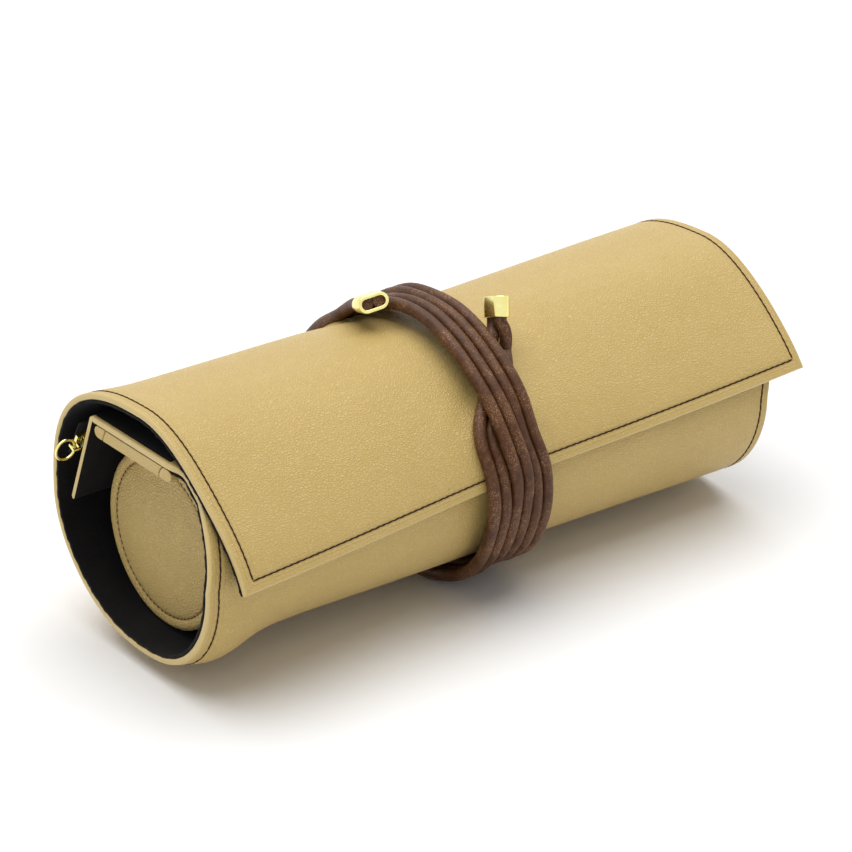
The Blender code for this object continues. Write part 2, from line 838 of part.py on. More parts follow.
def build_bail(slider_left, brass):
    # Hook on the slider: a flat arm over the zip's end stop, and an eye for the ring beyond it
    x0, x1 = ring_x - eye_room, ring_x + eye_room
    low, floor = bail_low, bail_low + bail_plate
    roof = floor + 2 * eye_room
    far, high = slider_left + bail_root, roof + bail_plate
    outline = [(x0 - bail_plate, low), (far, low), (far, floor), (x1 + bail_plate, floor),
               (x1 + bail_plate, high), (x0 - bail_plate, high),
               (x0, floor), (x1, floor), (x1, roof), (x0, roof)]
    verts = [(x, *zip_point(up, height)) for up in (-bail_width / 2, bail_width / 2)
             for x, height in outline]
    count = len(outline)
    faces = []
    for face in ((0, 1, 2, 3, 7, 6), (3, 4, 8, 7), (4, 5, 9, 8), (5, 0, 6, 9)):
        faces += [face, tuple(k + count for k in face)]
    for loop in ((0, 1, 2, 3, 4, 5), (6, 7, 8, 9)):
        for k, n in zip(loop, loop[1:] + loop[:1]):
            faces.append((k, n, n + count, k + count))
    return add_mesh("bail", verts, faces, brass)


def ring_axes():
    # The way up in the ring, turned from the wall towards the upright, and its way in
    middle, along, inward = zip_frame()
    c, s = math.cos(math.radians(ring_turn)), math.sin(math.radians(ring_turn))
    return along * c - inward * s, inward * c + along * s


def build_ring(brass):
    # Pull ring in the eye of the slider's hook, nearly upright and hinged on its right side
    along, inward = ring_axes()
    verts, faces = [], []
    turns, sides = 24, 8
    wire = ring_wire / 2
    radius = ring_diameter / 2 - wire
    for i in range(turns):
        a = 2 * math.pi * i / turns
        for k in range(sides):
            b = 2 * math.pi * k / sides
            r = radius + wire * math.cos(b)
            place = along * r * math.sin(a) + inward * wire * math.sin(b)
            verts.append((r * math.cos(a) - radius, *place))
            n, m = (i + 1) % turns, (k + 1) % sides
            faces.append((i * sides + k, n * sides + k, n * sides + m, i * sides + m))
    ring = add_mesh("zip_pull_ring", verts, faces, brass)
    ring.location = (ring_x, *zip_point(0.0, bail_low + bail_plate + eye_room))


def build_tie(cord_leather, brass):
    line, head, foot = pair_route()
    tangents, sides = pair_frames(line, head, foot)
    lines, cords = [], []
    for name, side in (("tie_cord_left", -1), ("tie_cord_right", 1)):
        points = [p + side * cord_pitch / 2 * s for p, s in zip(line, sides)]
        lines.append(points)
        cords.append(cord(name, points, cord_leather))
    flatten_foot(cords, cord_diameter / 10)
    gaps = [least_gap(lines[0], lines[0], True), least_gap(lines[1], lines[1], True),
            least_gap(lines[0], lines[1], False)]
    print("least gaps of each cord to itself and between them, mm:",
          [round(gap / mm, 3) for gap in gaps])
    inset = ferrule_length / 2 - ferrule_recess
    ferrule("tie_ferrule_top", line[0] + tangents[0] * inset, tangents[0], sides[0], brass)
    ferrule("tie_ferrule_tucked", line[-1] - tangents[-1] * inset, tangents[-1], sides[-1], brass)


def settle():
    # The origin goes to the middle of the whole roll's underside
    bpy.context.view_layer.update()
    corners = np.array([obj.matrix_world @ v.co for obj in bpy.data.objects
                        for v in obj.data.vertices])
    low, high = corners.min(axis=0), corners.max(axis=0)
    shift = np.array([-(low[0] + high[0]) / 2, -(low[1] + high[1]) / 2, -low[2]])
    for obj in bpy.data.objects:
        obj.location = [a + b for a, b in zip(obj.location, shift)]
    bpy.context.view_layer.update()
    return shift


layer_left = left_end + panel_inset
layer_right = layer_left + sheet_length - front_trim
tape_low = 1.6 * clearance + zip_floor()
tape_high = tape_low + tape_thickness
teeth_low = tape_high + clearance
teeth_high = teeth_low + teeth_thickness
slider_roof = teeth_high + clearance
zip_left = left_end + zip_inset
zip_right = zip_left + zip_length
bail_low = slider_roof + bail_step
eye_room = ring_wire / 2 + eye_slack
ring_x = zip_left - clearance - bail_plate - eye_room

for old in list(bpy.data.objects):
    bpy.data.objects.remove(old, do_unlink=True)
tan_leather = material("tan_leather", (0.60, 0.44, 0.20), 0.55)
black_suede = material("black_suede", (0.012, 0.011, 0.012), 0.95)
brown_cord = material("brown_cord", (0.10, 0.045, 0.025), 0.5)
pale_brass = material("pale_brass", (0.90, 0.80, 0.42), 0.2, 1.0)
build_cover(tan_leather, black_suede)
build_bolster(tan_leather, material("foam", (0.75, 0.72, 0.62), 0.9),
              material("board", (0.35, 0.30, 0.24), 0.8))
build_panel(tan_leather)
build_leaf(tan_leather)
build_zip(material("zip_cloth", (0.03, 0.02, 0.02), 0.9), pale_brass)
build_tie(brown_cord, pale_brass)
shift = settle()
print("shift of the section's centre, mm:", [round(float(v) / mm, 3) for v in shift])
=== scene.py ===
# Leather jewelry roll, closed and tied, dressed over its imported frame.
# Sizes are in millimetres and degrees.
# Angles round the roll: 0 front, 90 below, 180 back, 270 top.

import json
from math import cos, pi, radians, sin
from types import SimpleNamespace as Values

import bmesh
import bpy
import numpy as np
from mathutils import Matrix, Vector


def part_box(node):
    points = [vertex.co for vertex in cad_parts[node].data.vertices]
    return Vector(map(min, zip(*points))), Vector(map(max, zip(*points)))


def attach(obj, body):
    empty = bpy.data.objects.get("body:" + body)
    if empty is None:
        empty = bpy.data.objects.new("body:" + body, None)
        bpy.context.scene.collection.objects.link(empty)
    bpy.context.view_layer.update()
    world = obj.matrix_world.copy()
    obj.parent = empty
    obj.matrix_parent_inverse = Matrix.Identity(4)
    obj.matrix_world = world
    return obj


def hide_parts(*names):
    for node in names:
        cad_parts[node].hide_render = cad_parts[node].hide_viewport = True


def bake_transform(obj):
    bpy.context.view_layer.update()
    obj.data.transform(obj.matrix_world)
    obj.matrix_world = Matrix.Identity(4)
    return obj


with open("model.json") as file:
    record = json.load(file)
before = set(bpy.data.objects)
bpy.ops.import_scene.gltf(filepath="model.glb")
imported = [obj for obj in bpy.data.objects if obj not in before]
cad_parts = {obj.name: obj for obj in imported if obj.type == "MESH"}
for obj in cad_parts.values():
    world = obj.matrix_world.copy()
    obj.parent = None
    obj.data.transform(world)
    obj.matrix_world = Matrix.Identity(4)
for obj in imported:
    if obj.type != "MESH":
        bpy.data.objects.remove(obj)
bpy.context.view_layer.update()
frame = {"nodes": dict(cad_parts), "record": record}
mm = 0.001


def linked(name, data):
    obj = bpy.data.objects.new(name, data)
    bpy.context.scene.collection.objects.link(obj)
    return obj


def dress(piece, body, slot, *nodes):
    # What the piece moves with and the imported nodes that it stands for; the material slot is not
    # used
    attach(piece, body)
    if nodes:
        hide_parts(*nodes)


# Camera

view = Values(
    azimuth=-38.0, elevation=26.0, target=(-3.348, -5.113, 52.909),
    distance=1466.7, lens=185.9, sensor=36.0)


def addCamera():
    az, el = radians(view.azimuth), radians(view.elevation)
    back = Vector((sin(az) * cos(el), -cos(az) * cos(el), sin(el)))
    data = bpy.data.cameras.new("photoView")
    data.lens, data.sensor_width = view.lens, view.sensor
    data.clip_start, data.clip_end = 0.05, 50.0
    camera = linked("photoView", data)
    camera.location = Vector(view.target) * mm + back * view.distance * mm
    camera.rotation_euler = (-back).to_track_quat("-Z", "Y").to_euler()
    bpy.context.scene.camera = camera


addCamera()
print("camera placed")


# Node helpers: one small class for the maths, one for everything else

class Wire:
    def __init__(self, graph, socket):
        self.graph, self.socket = graph, socket

    def other(self, name):
        return Wire(self.graph, self.socket.node.outputs[name])

    def sum(self, operation, a, b=0.0, clamp=False):
        return self.graph.node("ShaderNodeMath", {0: a, 1: b}, operation=operation, use_clamp=clamp)

    __add__ = __radd__ = lambda self, b: self.sum("ADD", self, b)
    __mul__ = __rmul__ = lambda self, b: self.sum("MULTIPLY", self, b)
    __sub__ = lambda self, b: self.sum("SUBTRACT", self, b)
    __rsub__ = lambda self, a: self.sum("SUBTRACT", a, self)

    def held(self):
        return self.sum("ADD", self, 0.0, True)

    def size(self):
        return self.sum("ABSOLUTE", self)

    def sine(self):
        return self.sum("SINE", self)


class Graph:
    def __init__(self, tree):
        self.tree, self.shader = tree, tree.nodes.get("Principled BSDF")

    def node(self, kind, inputs=None, output=0, **settings):
        # A new node with its settings and inputs; returns the wire from its output
        new = self.tree.nodes.new(kind)
        for key, value in settings.items():
            setattr(new, key, value)
        for key, value in (inputs or {}).items():
            if isinstance(value, Wire):
                self.tree.links.new(value.socket, new.inputs[key])
            else:
                new.inputs[key].default_value = value
        return Wire(self, new.outputs[output])

    def mixed(self, share, a, b):
        # Colours between a and b
        a, b = (c if isinstance(c, Wire) else (*c, 1.0) for c in (a, b))
        return self.node("ShaderNodeMix", {0: share, 6: a, 7: b}, 2, data_type="RGBA")

    def ranged(self, value, low, high, start=0.0, end=1.0):
        return self.node("ShaderNodeMapRange", {
            "Value": value, "From Min": low, "From Max": high, "To Min": start, "To Max": end},
            clamp=True)

    def place(self):
        return self.node("ShaderNodeTexCoord", output="Object")

    def noise(self, place, scale, detail=2.0, rough=0.5, output="Fac"):
        return self.node("ShaderNodeTexNoise", {
            "Vector": place, "Scale": scale, "Detail": detail, "Roughness": rough}, output)

    def bump(self, strength, distance, height):
        return self.node("ShaderNodeBump", {
            "Strength": strength, "Distance": distance, "Height": height})

    def feed(self, **wires):
        names = {"color": "Base Color", "rough": "Roughness", "normal": "Normal"}
        for key, wire in wires.items():
            self.tree.links.new(wire.socket, self.shader.inputs[names[key]])


def newFinish(name, fixed):
    # A material with its shader's steady values, and its graph
    mat = bpy.data.materials.new(name)
    mat.use_nodes = True
    g = Graph(mat.node_tree)
    for key, value in fixed.items():
        g.shader.inputs[key].default_value = value
    return mat, g


# Finishes

# seam is the colour of the shade painted along the seams' grooves
leatherLook = {"tone": (0.64, 0.462, 0.166), "deep": (0.525, 0.365, 0.112),
               "edge": (0.68, 0.515, 0.225), "seam": (0.20, 0.11, 0.04),
               "pebble": 0.84, "bump": 0.46, "rough": 0.42}
# The attribute fromEdge is the distance from the rim, up to 3, or beside a seam this mark plus the
# distance from the seam; by it the finish lightens the burnished rim and paints shade along the seam
seamMark = 5.0


def leatherFinish(name="goldTanLeather", look=leatherLook, seamed=True):
    mat, g = newFinish(name, {"Specular IOR Level": 0.42, "Sheen Weight": 0.06,
                              "Sheen Roughness": 0.45})
    place = g.place()
    scale = 1000.0 / look["pebble"]
    # The grain runs a little longer along the roll and is pushed about so that no two pebbles match
    drawn = g.node("ShaderNodeMapping", {"Vector": place, "Scale": (0.72, 1.0, 1.0)})
    wander = g.noise(place, scale * 0.45, 1.0, output="Color")
    warped = g.node("ShaderNodeVectorMath", {0: wander, 1: (0.0013, 0.0013, 0.0013), 2: drawn},
                    operation="MULTIPLY_ADD")
    ridge = g.node("ShaderNodeTexVoronoi", {"Vector": warped, "Scale": scale}, "Distance",
                   feature="DISTANCE_TO_EDGE")
    pebble = g.ranged(ridge, 0.0, 0.32)
    fine = g.noise(place, scale * 2.6, 3.0, 0.6)
    broad = g.noise(place, 30.0, 3.0, 0.55)
    patch = g.noise(place, 210.0, 3.0, 0.6)
    shade = broad * 0.22 + patch * 0.16 + (pebble - 1.0) * 0.24 + (fine - 0.5) * 0.34 + 0.395
    color = g.mixed(g.ranged(shade, 0.30, 0.66), look["deep"], look["tone"])
    rough = look["rough"] + (fine - 0.5) * 0.16 - (pebble - 0.5) * 0.06
    height = pebble * 0.62 + fine * 0.42 + patch * 0.55
    if seamed:
        # The rim is burnished, and shade is painted into the groove along each seam
        away = g.node("ShaderNodeAttribute", None, "Fac", attribute_name="fromEdge")
        rim = g.ranged(away, 1.0, 0.2)
        color = g.mixed(rim * 0.8, color, look["edge"])
        seamGrooveShade = g.ranged((away - seamMark).size(), 0.0, 0.9, 1.0, 0.0)
        color = g.mixed(seamGrooveShade * seamGrooveShade * 0.55, color, look["seam"])
        height = height * (1.0 - rim * 0.75)
    g.feed(color=color, rough=rough, normal=g.bump(look["bump"], 0.00055, height))
    return mat


def suedeFinish():
    mat, g = newFinish("blackSuede", {"Specular IOR Level": 0.1, "Sheen Weight": 0.04,
                                      "Sheen Roughness": 0.6})
    place = g.place()
    nap = g.noise(place, 1800.0, 2.0, 0.7)
    brushed = g.noise(place, 70.0, 3.0, 0.6)
    tone = g.ranged(brushed * 0.6 + nap * 0.4, 0.32, 0.68)
    color = g.mixed(tone, (0.0022, 0.0019, 0.0022), (0.0095, 0.0083, 0.0088))
    g.feed(color=color, rough=0.86 + nap * 0.12, normal=g.bump(0.6, 0.0003, nap))
    return mat


cordLook = Values(
    tone=(0.132, 0.050, 0.0165), deep=(0.048, 0.0165, 0.0055),
    scuff=(0.46, 0.27, 0.14), seam=(0.012, 0.005, 0.004),
    seamSide=0.215, beat=62.8)


def cordFinish():
    # The cord's own map: u once round it from its outer side, v along it in centimetres
    mat, g = newFinish("brownCordLeather", {"Specular IOR Level": 0.28})
    place = g.place()
    around = g.node("ShaderNodeSeparateXYZ", {0: g.node("ShaderNodeUVMap", uv_map="cordMap")})
    along = around.other("Y")
    grain = g.noise(place, 900.0, 3.0, 0.6)
    patch = g.noise(place, 130.0, 3.0, 0.6)
    specks = g.noise(place, 2300.0, 2.0, 0.5)
    worn = g.ranged(patch, 0.44, 0.58) * g.ranged(specks, 0.55, 0.64)
    tone = g.ranged(grain * 0.5 + patch * 0.5, 0.32, 0.68)
    color = g.mixed(tone, cordLook.deep, cordLook.tone)
    color = g.mixed(worn * 0.6, color, cordLook.scuff)
    # The glued seam runs on the side where the two cords meet, with small stitch marks along it
    seam = g.ranged((around - cordLook.seamSide).size(), 0.0, 0.022, 1.0, 0.0)
    beat = g.ranged((along * cordLook.beat).sine(), -0.4, 0.6)
    color = g.mixed(seam * (0.55 + beat * 0.35), color, cordLook.seam)
    height = grain * 0.6 + specks * 0.25 - seam * 0.9
    g.feed(color=color, rough=0.43 + (grain - 0.5) * 0.3, normal=g.bump(0.7, 0.0004, height))
    return mat


def goldFinish():
    mat, g = newFinish("paleGold", {"Metallic": 1.0})
    place = g.place()
    stretched = g.node("ShaderNodeMapping", {"Vector": place, "Scale": (0.3, 1.0, 3.0)})
    scratch = g.noise(stretched, 1500.0, 2.0, 0.6)
    haze = g.noise(place, 260.0, 2.0, 0.5)
    color = g.mixed(g.ranged(haze, 0.3, 0.7), (0.87, 0.76, 0.27), (0.95, 0.88, 0.40))
    g.feed(color=color, rough=0.13 + scratch * 0.12, normal=g.bump(0.06, 0.0002, scratch))
    return mat


def threadFinish():
    mat, g = newFinish("brownThread", {"Specular IOR Level": 0.15})
    twist = g.node("ShaderNodeTexWave", {"Vector": g.place(), "Scale": 900.0, "Distortion": 2.0},
                   "Fac", bands_direction="DIAGONAL")
    color = g.mixed(twist, (0.020, 0.006, 0.003), (0.062, 0.022, 0.010))
    g.feed(color=color, rough=0.62 + twist * 0.12, normal=g.bump(0.3, 0.0002, twist))
    return mat


def clothFinish():
    mat, g = newFinish("blackZipCloth", {"Specular IOR Level": 0.2})
    threads = 9000.0
    apart = g.node("ShaderNodeSeparateXYZ", {0: g.place()})
    warp = (apart * threads).sine()
    weft = (apart.other("Z") * threads).sine()
    weave = (warp * weft + 1.0) * 0.5
    color = g.mixed(weave, (0.009, 0.008, 0.009), (0.030, 0.027, 0.028))
    g.feed(color=color, rough=0.8 + weave * 0.1, normal=g.bump(0.4, 0.0002, weave))
    return mat


def coreFinish(name, low, high, scale):
    mat, g = newFinish(name, {"Specular IOR Level": 0.2})
    place = g.place()
    cells = g.node("ShaderNodeTexVoronoi", {"Vector": place, "Scale": scale}, "Distance")
    fine = g.noise(place, scale * 0.7, 3.0, 0.7)
    color = g.mixed(g.ranged(cells * 0.6 + fine * 0.4, 0.2, 0.8), low, high)
    g.feed(color=color, rough=0.85 + fine * 0.1, normal=g.bump(0.4, 0.0004, cells + fine))
    return mat


# The cover's winding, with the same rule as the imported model

cover = Values(
    length=239.1, leftEnd=-120.3, frontTrim=4.0, thickness=2.2, lining=0.8,
    liningInset=0.05, liningRound=0.12, overlap=0.05, clearance=0.3,
    flapEnd=359.5, flapSlant=10.0, edgeSkew=8.0, frontStart=-52.0,
    backRoom=12.1, frontRoom=12.2, headRoom=7.2, topShare=0.525,
    backFullness=2.7, frontFullness=1.7, bottomFullness=1.92,
    waistDepth=1.7, waistPlace=18.0, waistWidth=60.0, waistAngle=235.0,
    shoulderDrop=0.5, mouthLift=1.6, mouthReach=12.0,
    bulgeHeight=4.6, bulgePlace=12.0, bulgeWidth=14.0, bulgeRound=(50.0, 50.0),
    sag=1.8, sagRound=(58.0, 60.0), sagReach=100.0, leastSag=-0.7,
    cornerPull=0.42, bendSteps=22, stepSpan=70.0,
    flattening=1.2, flatRound=(315.0, 38.0),
    flare=4.2, flareStart=325.0, flareSpan=32.0,
    seamLeft=4.2, seamRight=3.3, seamFront=3.9, seamDepth=0.28, seamWidth=0.8,
    edgeRound=0.75, swell=0.62, swellReach=2.5, swellClimb=3.5,
    swellStart=(62.0, 12.0), swellEnd=(352.0, -10.0), dip=0.5, dipReach=7.0,
    pucker=0.2, puckerAlong=(7.0, 4.0), puckerRound=(42.0, 38.0), puckerBeat=1.05,
    place=(-1.348, -1.693, 45.139))
bolster = Values(
    diameter=61.4, length=204.0, inset=15.2, sleeve=1.6, end=1.8, crown=1.6,
    board=1.5, border=4.0, roll=0.55, groove=0.4, grooveWidth=0.5, edge=1.0)
panel = Values(
    length=225.0, width=42.8, thickness=4.3, inset=5.5, binding=5.5,
    divider=2.0, back=24.0, front=16.5, leaf=2.0, drop=35.5, lean=20.6,
    tilt=0.8, border=1.5, seamGap=0.22)
tie = Values(
    place=0.5, diameter=3.9, gap=0.54, seat=0.8, crossing=0.9, drawn=4.3,
    pinch=0.6, pinchWidth=22.0, pinchAngle=315.0,
    ferrule=7.0, wall=0.7, recess=1.2, rolled=0.5, lip=0.28,
    start=232.5, tuckStart=-712.5, tuckEnd=-780.0, tuckDelay=22.0, tuckSpan=40.0,
    tailReach=11.3, tuckReach=22.6, twist=78.0,
    looseLift=0.4, looseStart=-598.0, looseEnd=-700.0, looseClimb=42.0,
    # Angle and span of each rise or fall on the way round
    bottomLean=4.5, bottomRise=(8, 45), bottomFall=(185, -60),
    topLean=-2.2, topRise=(356, -20), topFall=(190, 50),
    tailSwing=(205, -75), tailOver=(212, -20), tailDown=(106, 26),
    lapShift=(140, 90), lapOver=(-8, 38), lapDown=(134, -38), lapDelay=8,
    topTail=[(-14.8, 9.3, 51.8), (-13.1, 15.3, 49.4), (-11.4, 21, 46.7), (-10.8, 26, 43)],
    tuckedTail=[(14.6, -20.6, 42.7), (15.8, -17.9, 45.8), (17.8, -15.2, 52.4)])

wall = cover.thickness + cover.lining + 2 * cover.clearance
wrapStep = wall + 2 * cover.clearance
bolsterRadius = bolster.diameter / 2
stack = (bolster.diameter + panel.thickness + panel.divider + 3 * cover.clearance
         + cover.headRoom + 2 * wall)
topHeight = stack * cover.topShare
bottomHeight = stack - topHeight
halfWidth = (bolster.diameter + cover.backRoom + cover.frontRoom + 2 * wall + wrapStep) / 2
cordRadius = tie.diameter / 2
cordPitch = tie.diameter + tie.gap


def easing(t):
    t = np.clip(t, 0.0, 1.0)
    return t * t * (3 - 2 * t)


def ramp(value, start, span):
    # 0 up to the start, 1 a span further on; a negative span runs the other way
    return easing((value - start) / span)


def hump(value, middle, span):
    return easing(1 - np.abs(value - middle) / span)


def bell(value, middle, width):
    return np.exp(-((value - middle) / width) ** 2)


def sectionRadius(angle, x):
    # Rounded-box section, fuller at the back of the top and straighter at its front
    a = np.radians(angle)
    above, behind = np.sin(a) < 0, np.cos(a) < 0
    height = np.where(above, topHeight, bottomHeight)
    fullness = np.where(above, np.where(behind, cover.backFullness, cover.frontFullness),
                        cover.bottomFullness)
    c = (np.abs(np.cos(a)) / halfWidth) ** fullness
    s = (np.abs(np.sin(a)) / height) ** fullness
    sunk = np.maximum(0.0, np.cos(np.radians(angle - cover.waistAngle))) ** 1.5
    fromLeft = x - cover.leftEnd
    waist = (cover.waistDepth * bell(x, cover.waistPlace, cover.waistWidth)
             + cover.shoulderDrop * easing(fromLeft / cover.waistWidth)
             - cover.mouthLift * bell(fromLeft, 0.0, cover.mouthReach))
    share = np.maximum(cover.leastSag, (x - tie.place) / cover.sagReach)
    sag = cover.sag * share * hump(angle, *cover.sagRound)
    return (c + s) ** (-1 / fullness) - sunk * waist + sag


def wrapRadius(angle, x):
    # The round that the tie lies on, with its dent and the straighter run of the flap
    around = (0.5 + 0.5 * np.cos(np.radians(angle - tie.pinchAngle))) ** 1.2
    dent = tie.pinch * around * bell(x, tie.place, tie.pinchWidth)
    flat = cover.flattening * hump(angle % 360, *cover.flatRound)
    return sectionRadius(angle, x) - dent - flat


def outerRadius(angle, x):
    # The leather's outer face: a step in under the flap, the flap's flare and the mouth's bulge
    step = wrapStep * (1 - easing(angle / cover.stepSpan))
    free = 1 - bell(x, tie.place, 3 * tie.pinchWidth)
    raised = np.maximum(0.0, (angle - cover.flareStart) / cover.flareSpan) ** 2
    near = bell(x - cover.leftEnd, cover.bulgePlace, cover.bulgeWidth)
    bulge = cover.bulgeHeight * near * hump(angle, *cover.bulgeRound)
    return wrapRadius(angle, x) - step + cover.flare * free * raised + bulge


def ringPoints(angle, radius):
    a = np.radians(angle)
    return np.stack([-radius * np.cos(a), -radius * np.sin(a)], axis=-1)


def unit(rows):
    # Vectors of length 1, from one vector or from rows of them
    return rows / np.linalg.norm(rows, axis=-1, keepdims=True)


def inward(path):
    # Unit normals to the path's inner side
    t = unit(np.gradient(path, axis=0))
    return np.stack([-t[:, 1], t[:, 0]], axis=1)


def runAlong(path):
    # Length of the path from its start to each point
    return np.concatenate([[0], np.cumsum(np.linalg.norm(np.diff(path, axis=0), axis=1))])


def roundAngles(share, fine):
    # Angles of the outer path at a share of the length, closer together at the flap's edge
    end = cover.flapEnd - cover.flapSlant * share
    tail = np.array([0.0, 0.13, 0.33, 0.6, 0.95, 1.6, 2.8, 4.1, 5.0, 5.6, 6.0, 6.4, 6.8, 7.4,
                     8.4, 10.0])
    count = int((cover.flapEnd - 12 - cover.frontStart) / fine)
    return np.concatenate([np.linspace(cover.frontStart, end - 12, count), end - tail[::-1]])


tilt = radians(panel.tilt)
bolsterY = halfWidth - wall - cover.backRoom - bolsterRadius


def findBolsterHeight():
    # The bolster rests on the lining's inner face at the left end
    angles = np.linspace(cover.frontStart, cover.flapEnd, 55)
    path = ringPoints(angles, outerRadius(angles, cover.leftEnd))
    face = path + inward(path) * (wall - cover.clearance)
    reach = bolsterRadius + 1.5 * cover.clearance
    steps = np.diff(face, axis=0)
    spots = np.concatenate([face[:-1] + steps * share for share in (0, 0.25, 0.5, 0.75)])
    side = reach ** 2 - (spots[:, 0] - bolsterY) ** 2
    below = (side > 0) & (spots[:, 1] < 0)
    return (spots[below, 1] + np.sqrt(side[below])).max()


bolsterZ = findBolsterHeight()
panelBottom = bolsterRadius + cover.clearance
panelTop = panelBottom + panel.thickness
dividerBottom = panelTop + cover.clearance
dividerTop = dividerBottom + panel.divider
layerLeft = cover.leftEnd + panel.inset
dividerLength = cover.length - cover.frontTrim
bolsterLeft = cover.leftEnd + bolster.inset
bolsterRight = bolsterLeft + bolster.length


def layerPoint(along, up):
    return np.array([bolsterY + along * cos(tilt) - up * sin(tilt),
                     bolsterZ + along * sin(tilt) + up * cos(tilt)])


def bezier(p0, p1, p2, p3, count):
    t = np.linspace(0, 1, count)[:, None]
    return (1 - t) ** 3 * p0 + 3 * t * (1 - t) ** 2 * p1 + 3 * t ** 2 * (1 - t) * p2 + t ** 3 * p3


def coverPath(share, fine):
    # The leather's outer face at a share of the length: the bend under the flap, then the winding
    x = cover.leftEnd + cover.length * share
    angles = roundAngles(share, fine)
    wound = ringPoints(angles, outerRadius(angles, x))
    heading = unit(wound[0] - wound[2])
    last = layerPoint(-panel.front, dividerTop)
    level = layerPoint(-panel.front - 1, dividerTop) - last
    reach = cover.cornerPull * np.linalg.norm(last - wound[0])
    bend = bezier(last, last + level * reach, wound[0] + heading * reach, wound[0],
                  cover.bendSteps)[:-1]
    bends = np.concatenate([1 - easing(np.arange(len(bend)) / len(bend)), np.zeros(len(wound))])
    return (np.concatenate([bend, wound]),
            np.concatenate([np.full(len(bend), cover.frontStart), angles]), bends)


def coverRow(p, inset=0.0, fine=2.0):
    # At a place along the sheet: outer path, inner normals, angles, run and places along the roll
    share = p / cover.length
    path, angles, bends = coverPath(share, fine)
    # The winding climbs to the right, and in the bend it comes back to the divider's end
    skew = cover.edgeSkew * np.where(angles >= 0, angles / 360, np.minimum(1.0, -angles / 40))
    span = cover.length - cover.frontTrim * easing(1 - angles / 180)
    x = (cover.leftEnd + inset + skew * (1 - bends) + panel.inset * bends
         + (span - 2 * inset) * share)
    return path, inward(path), angles, runAlong(path), x


def bothEnds(rim, margin, length, count):
    # Places along a length, the same at both ends and even between the margins
    return [*rim, *np.linspace(margin, length - margin, count), *(length - r for r in rim[::-1])]


def rounded(away, radius):
    # How far a face drops towards a rounded edge
    near = np.clip(radius - away, 0.0, radius)
    return radius - np.sqrt(np.maximum(radius ** 2 - near ** 2, 0.0))


def sheetFaces(rows, count):
    # Quads of the outer grid o, the inner grid i and the four rims between them
    o, i = np.arange(2 * rows * count).reshape(2, rows, count)
    sets = [(o[:-1, :-1], o[:-1, 1:], o[1:, 1:], o[1:, :-1]),
            (i[:-1, :-1], i[1:, :-1], i[1:, 1:], i[:-1, 1:])]
    sets += [(o[:-1, k], o[1:, k], i[1:, k], i[:-1, k]) for k in (0, -1)]
    sets += [(o[r, :-1], i[r, :-1], i[r, 1:], o[r, 1:]) for r in (0, -1)]
    return np.concatenate([np.stack([c.ravel() for c in four], axis=1) for four in sets]).tolist()


def bandFaces(rings, count, closed=False):
    # Quads between rings of points that follow one another
    return [(r * count + k, r * count + (k + 1) % count,
             (r + 1) % rings * count + (k + 1) % count, (r + 1) % rings * count + k)
            for r in range(rings if closed else rings - 1) for k in range(count)]


def worldPoints(points):
    # Millimetres about the roll's section centre, as metres in the scene
    return (np.asarray(points) + np.array(cover.place)) * mm


def makePiece(name, points, faces, mats, keep=50, kinds=None, edges=None, uvs=None):
    # A closed mesh piece; faces that meet at more than keep degrees stay sharp
    mesh = bpy.data.meshes.new(name)
    mesh.from_pydata(worldPoints(points).tolist(), [], faces)
    if kinds is not None:
        mesh.polygons.foreach_set("material_index", kinds)
    if edges is not None:
        layer = mesh.attributes.new("fromEdge", "FLOAT", "POINT")
        layer.data.foreach_set("value", np.asarray(edges, dtype=np.float32).ravel())
    if uvs is not None:
        corners = mesh.uv_layers.new(name="cordMap")
        corners.data.foreach_set("uv", np.asarray(uvs, dtype=np.float32).ravel())
    bm = bmesh.new()
    bm.from_mesh(mesh)
    bmesh.ops.recalc_face_normals(bm, faces=bm.faces)
    bm.to_mesh(mesh)
    bm.free()
    for mat in mats:
        mesh.materials.append(mat)
    mesh.shade_smooth()
    mesh.set_sharp_from_angle(angle=radians(keep))
    return linked(name, mesh)


def sheetPiece(name, outer, inner, mats, **more):
    # A closed sheet from two grids of points, its outer and its inner face
    points = np.concatenate([outer.reshape(-1, 3), inner.reshape(-1, 3)])
    return makePiece(name, points, sheetFaces(*outer.shape[:2]), mats, **more)


# Tie: two cords side by side, three laps and two tails

def sideways(turn, leans=True):
    # How far the band leans along the roll, underneath and over the top
    if turn < tie.bottomFall[0]:
        return tie.bottomLean * ramp(turn, *tie.bottomRise) * ramp(turn, *tie.bottomFall)
    return tie.topLean * ramp(turn, *tie.topRise) * ramp(turn, *tie.topFall) if leans else 0.0


def slack(wound):
    # The leftmost lap hangs a little lower underneath
    return (tie.looseLift * ramp(wound, tie.looseStart, -tie.looseClimb)
            * ramp(wound, tie.looseEnd, tie.looseClimb))


def pairPlace(wound):
    # Where the pair lies along the roll, and how far it climbs over its own laps
    pairPitch = 2 * cordPitch
    turn = wound % 360
    if wound > 90:
        share = ramp(wound, *tie.tailSwing)
        place = -tie.tailReach + share * (tie.tailReach + pairPitch) + sideways(turn) * share
        return place, ramp(wound, *tie.tailOver) * ramp(wound, *tie.tailDown)
    lap, rest = divmod(90 - wound, 360)
    lap, rise = int(lap), rest - 90
    if lap < 2:
        place = pairPitch * (1 - lap - ramp(rise, *tie.lapShift))
        late = tie.lapDelay * (1 - lap)
        over = ramp(rise - 2 * late, *tie.lapOver) * ramp(rise - late, *tie.lapDown)
        return place + sideways(turn), over + slack(wound)
    share = max(0.0, rise - tie.tuckDelay) / tie.tuckSpan
    return tie.tuckReach * easing(share) - pairPitch + sideways(turn, False), slack(wound)


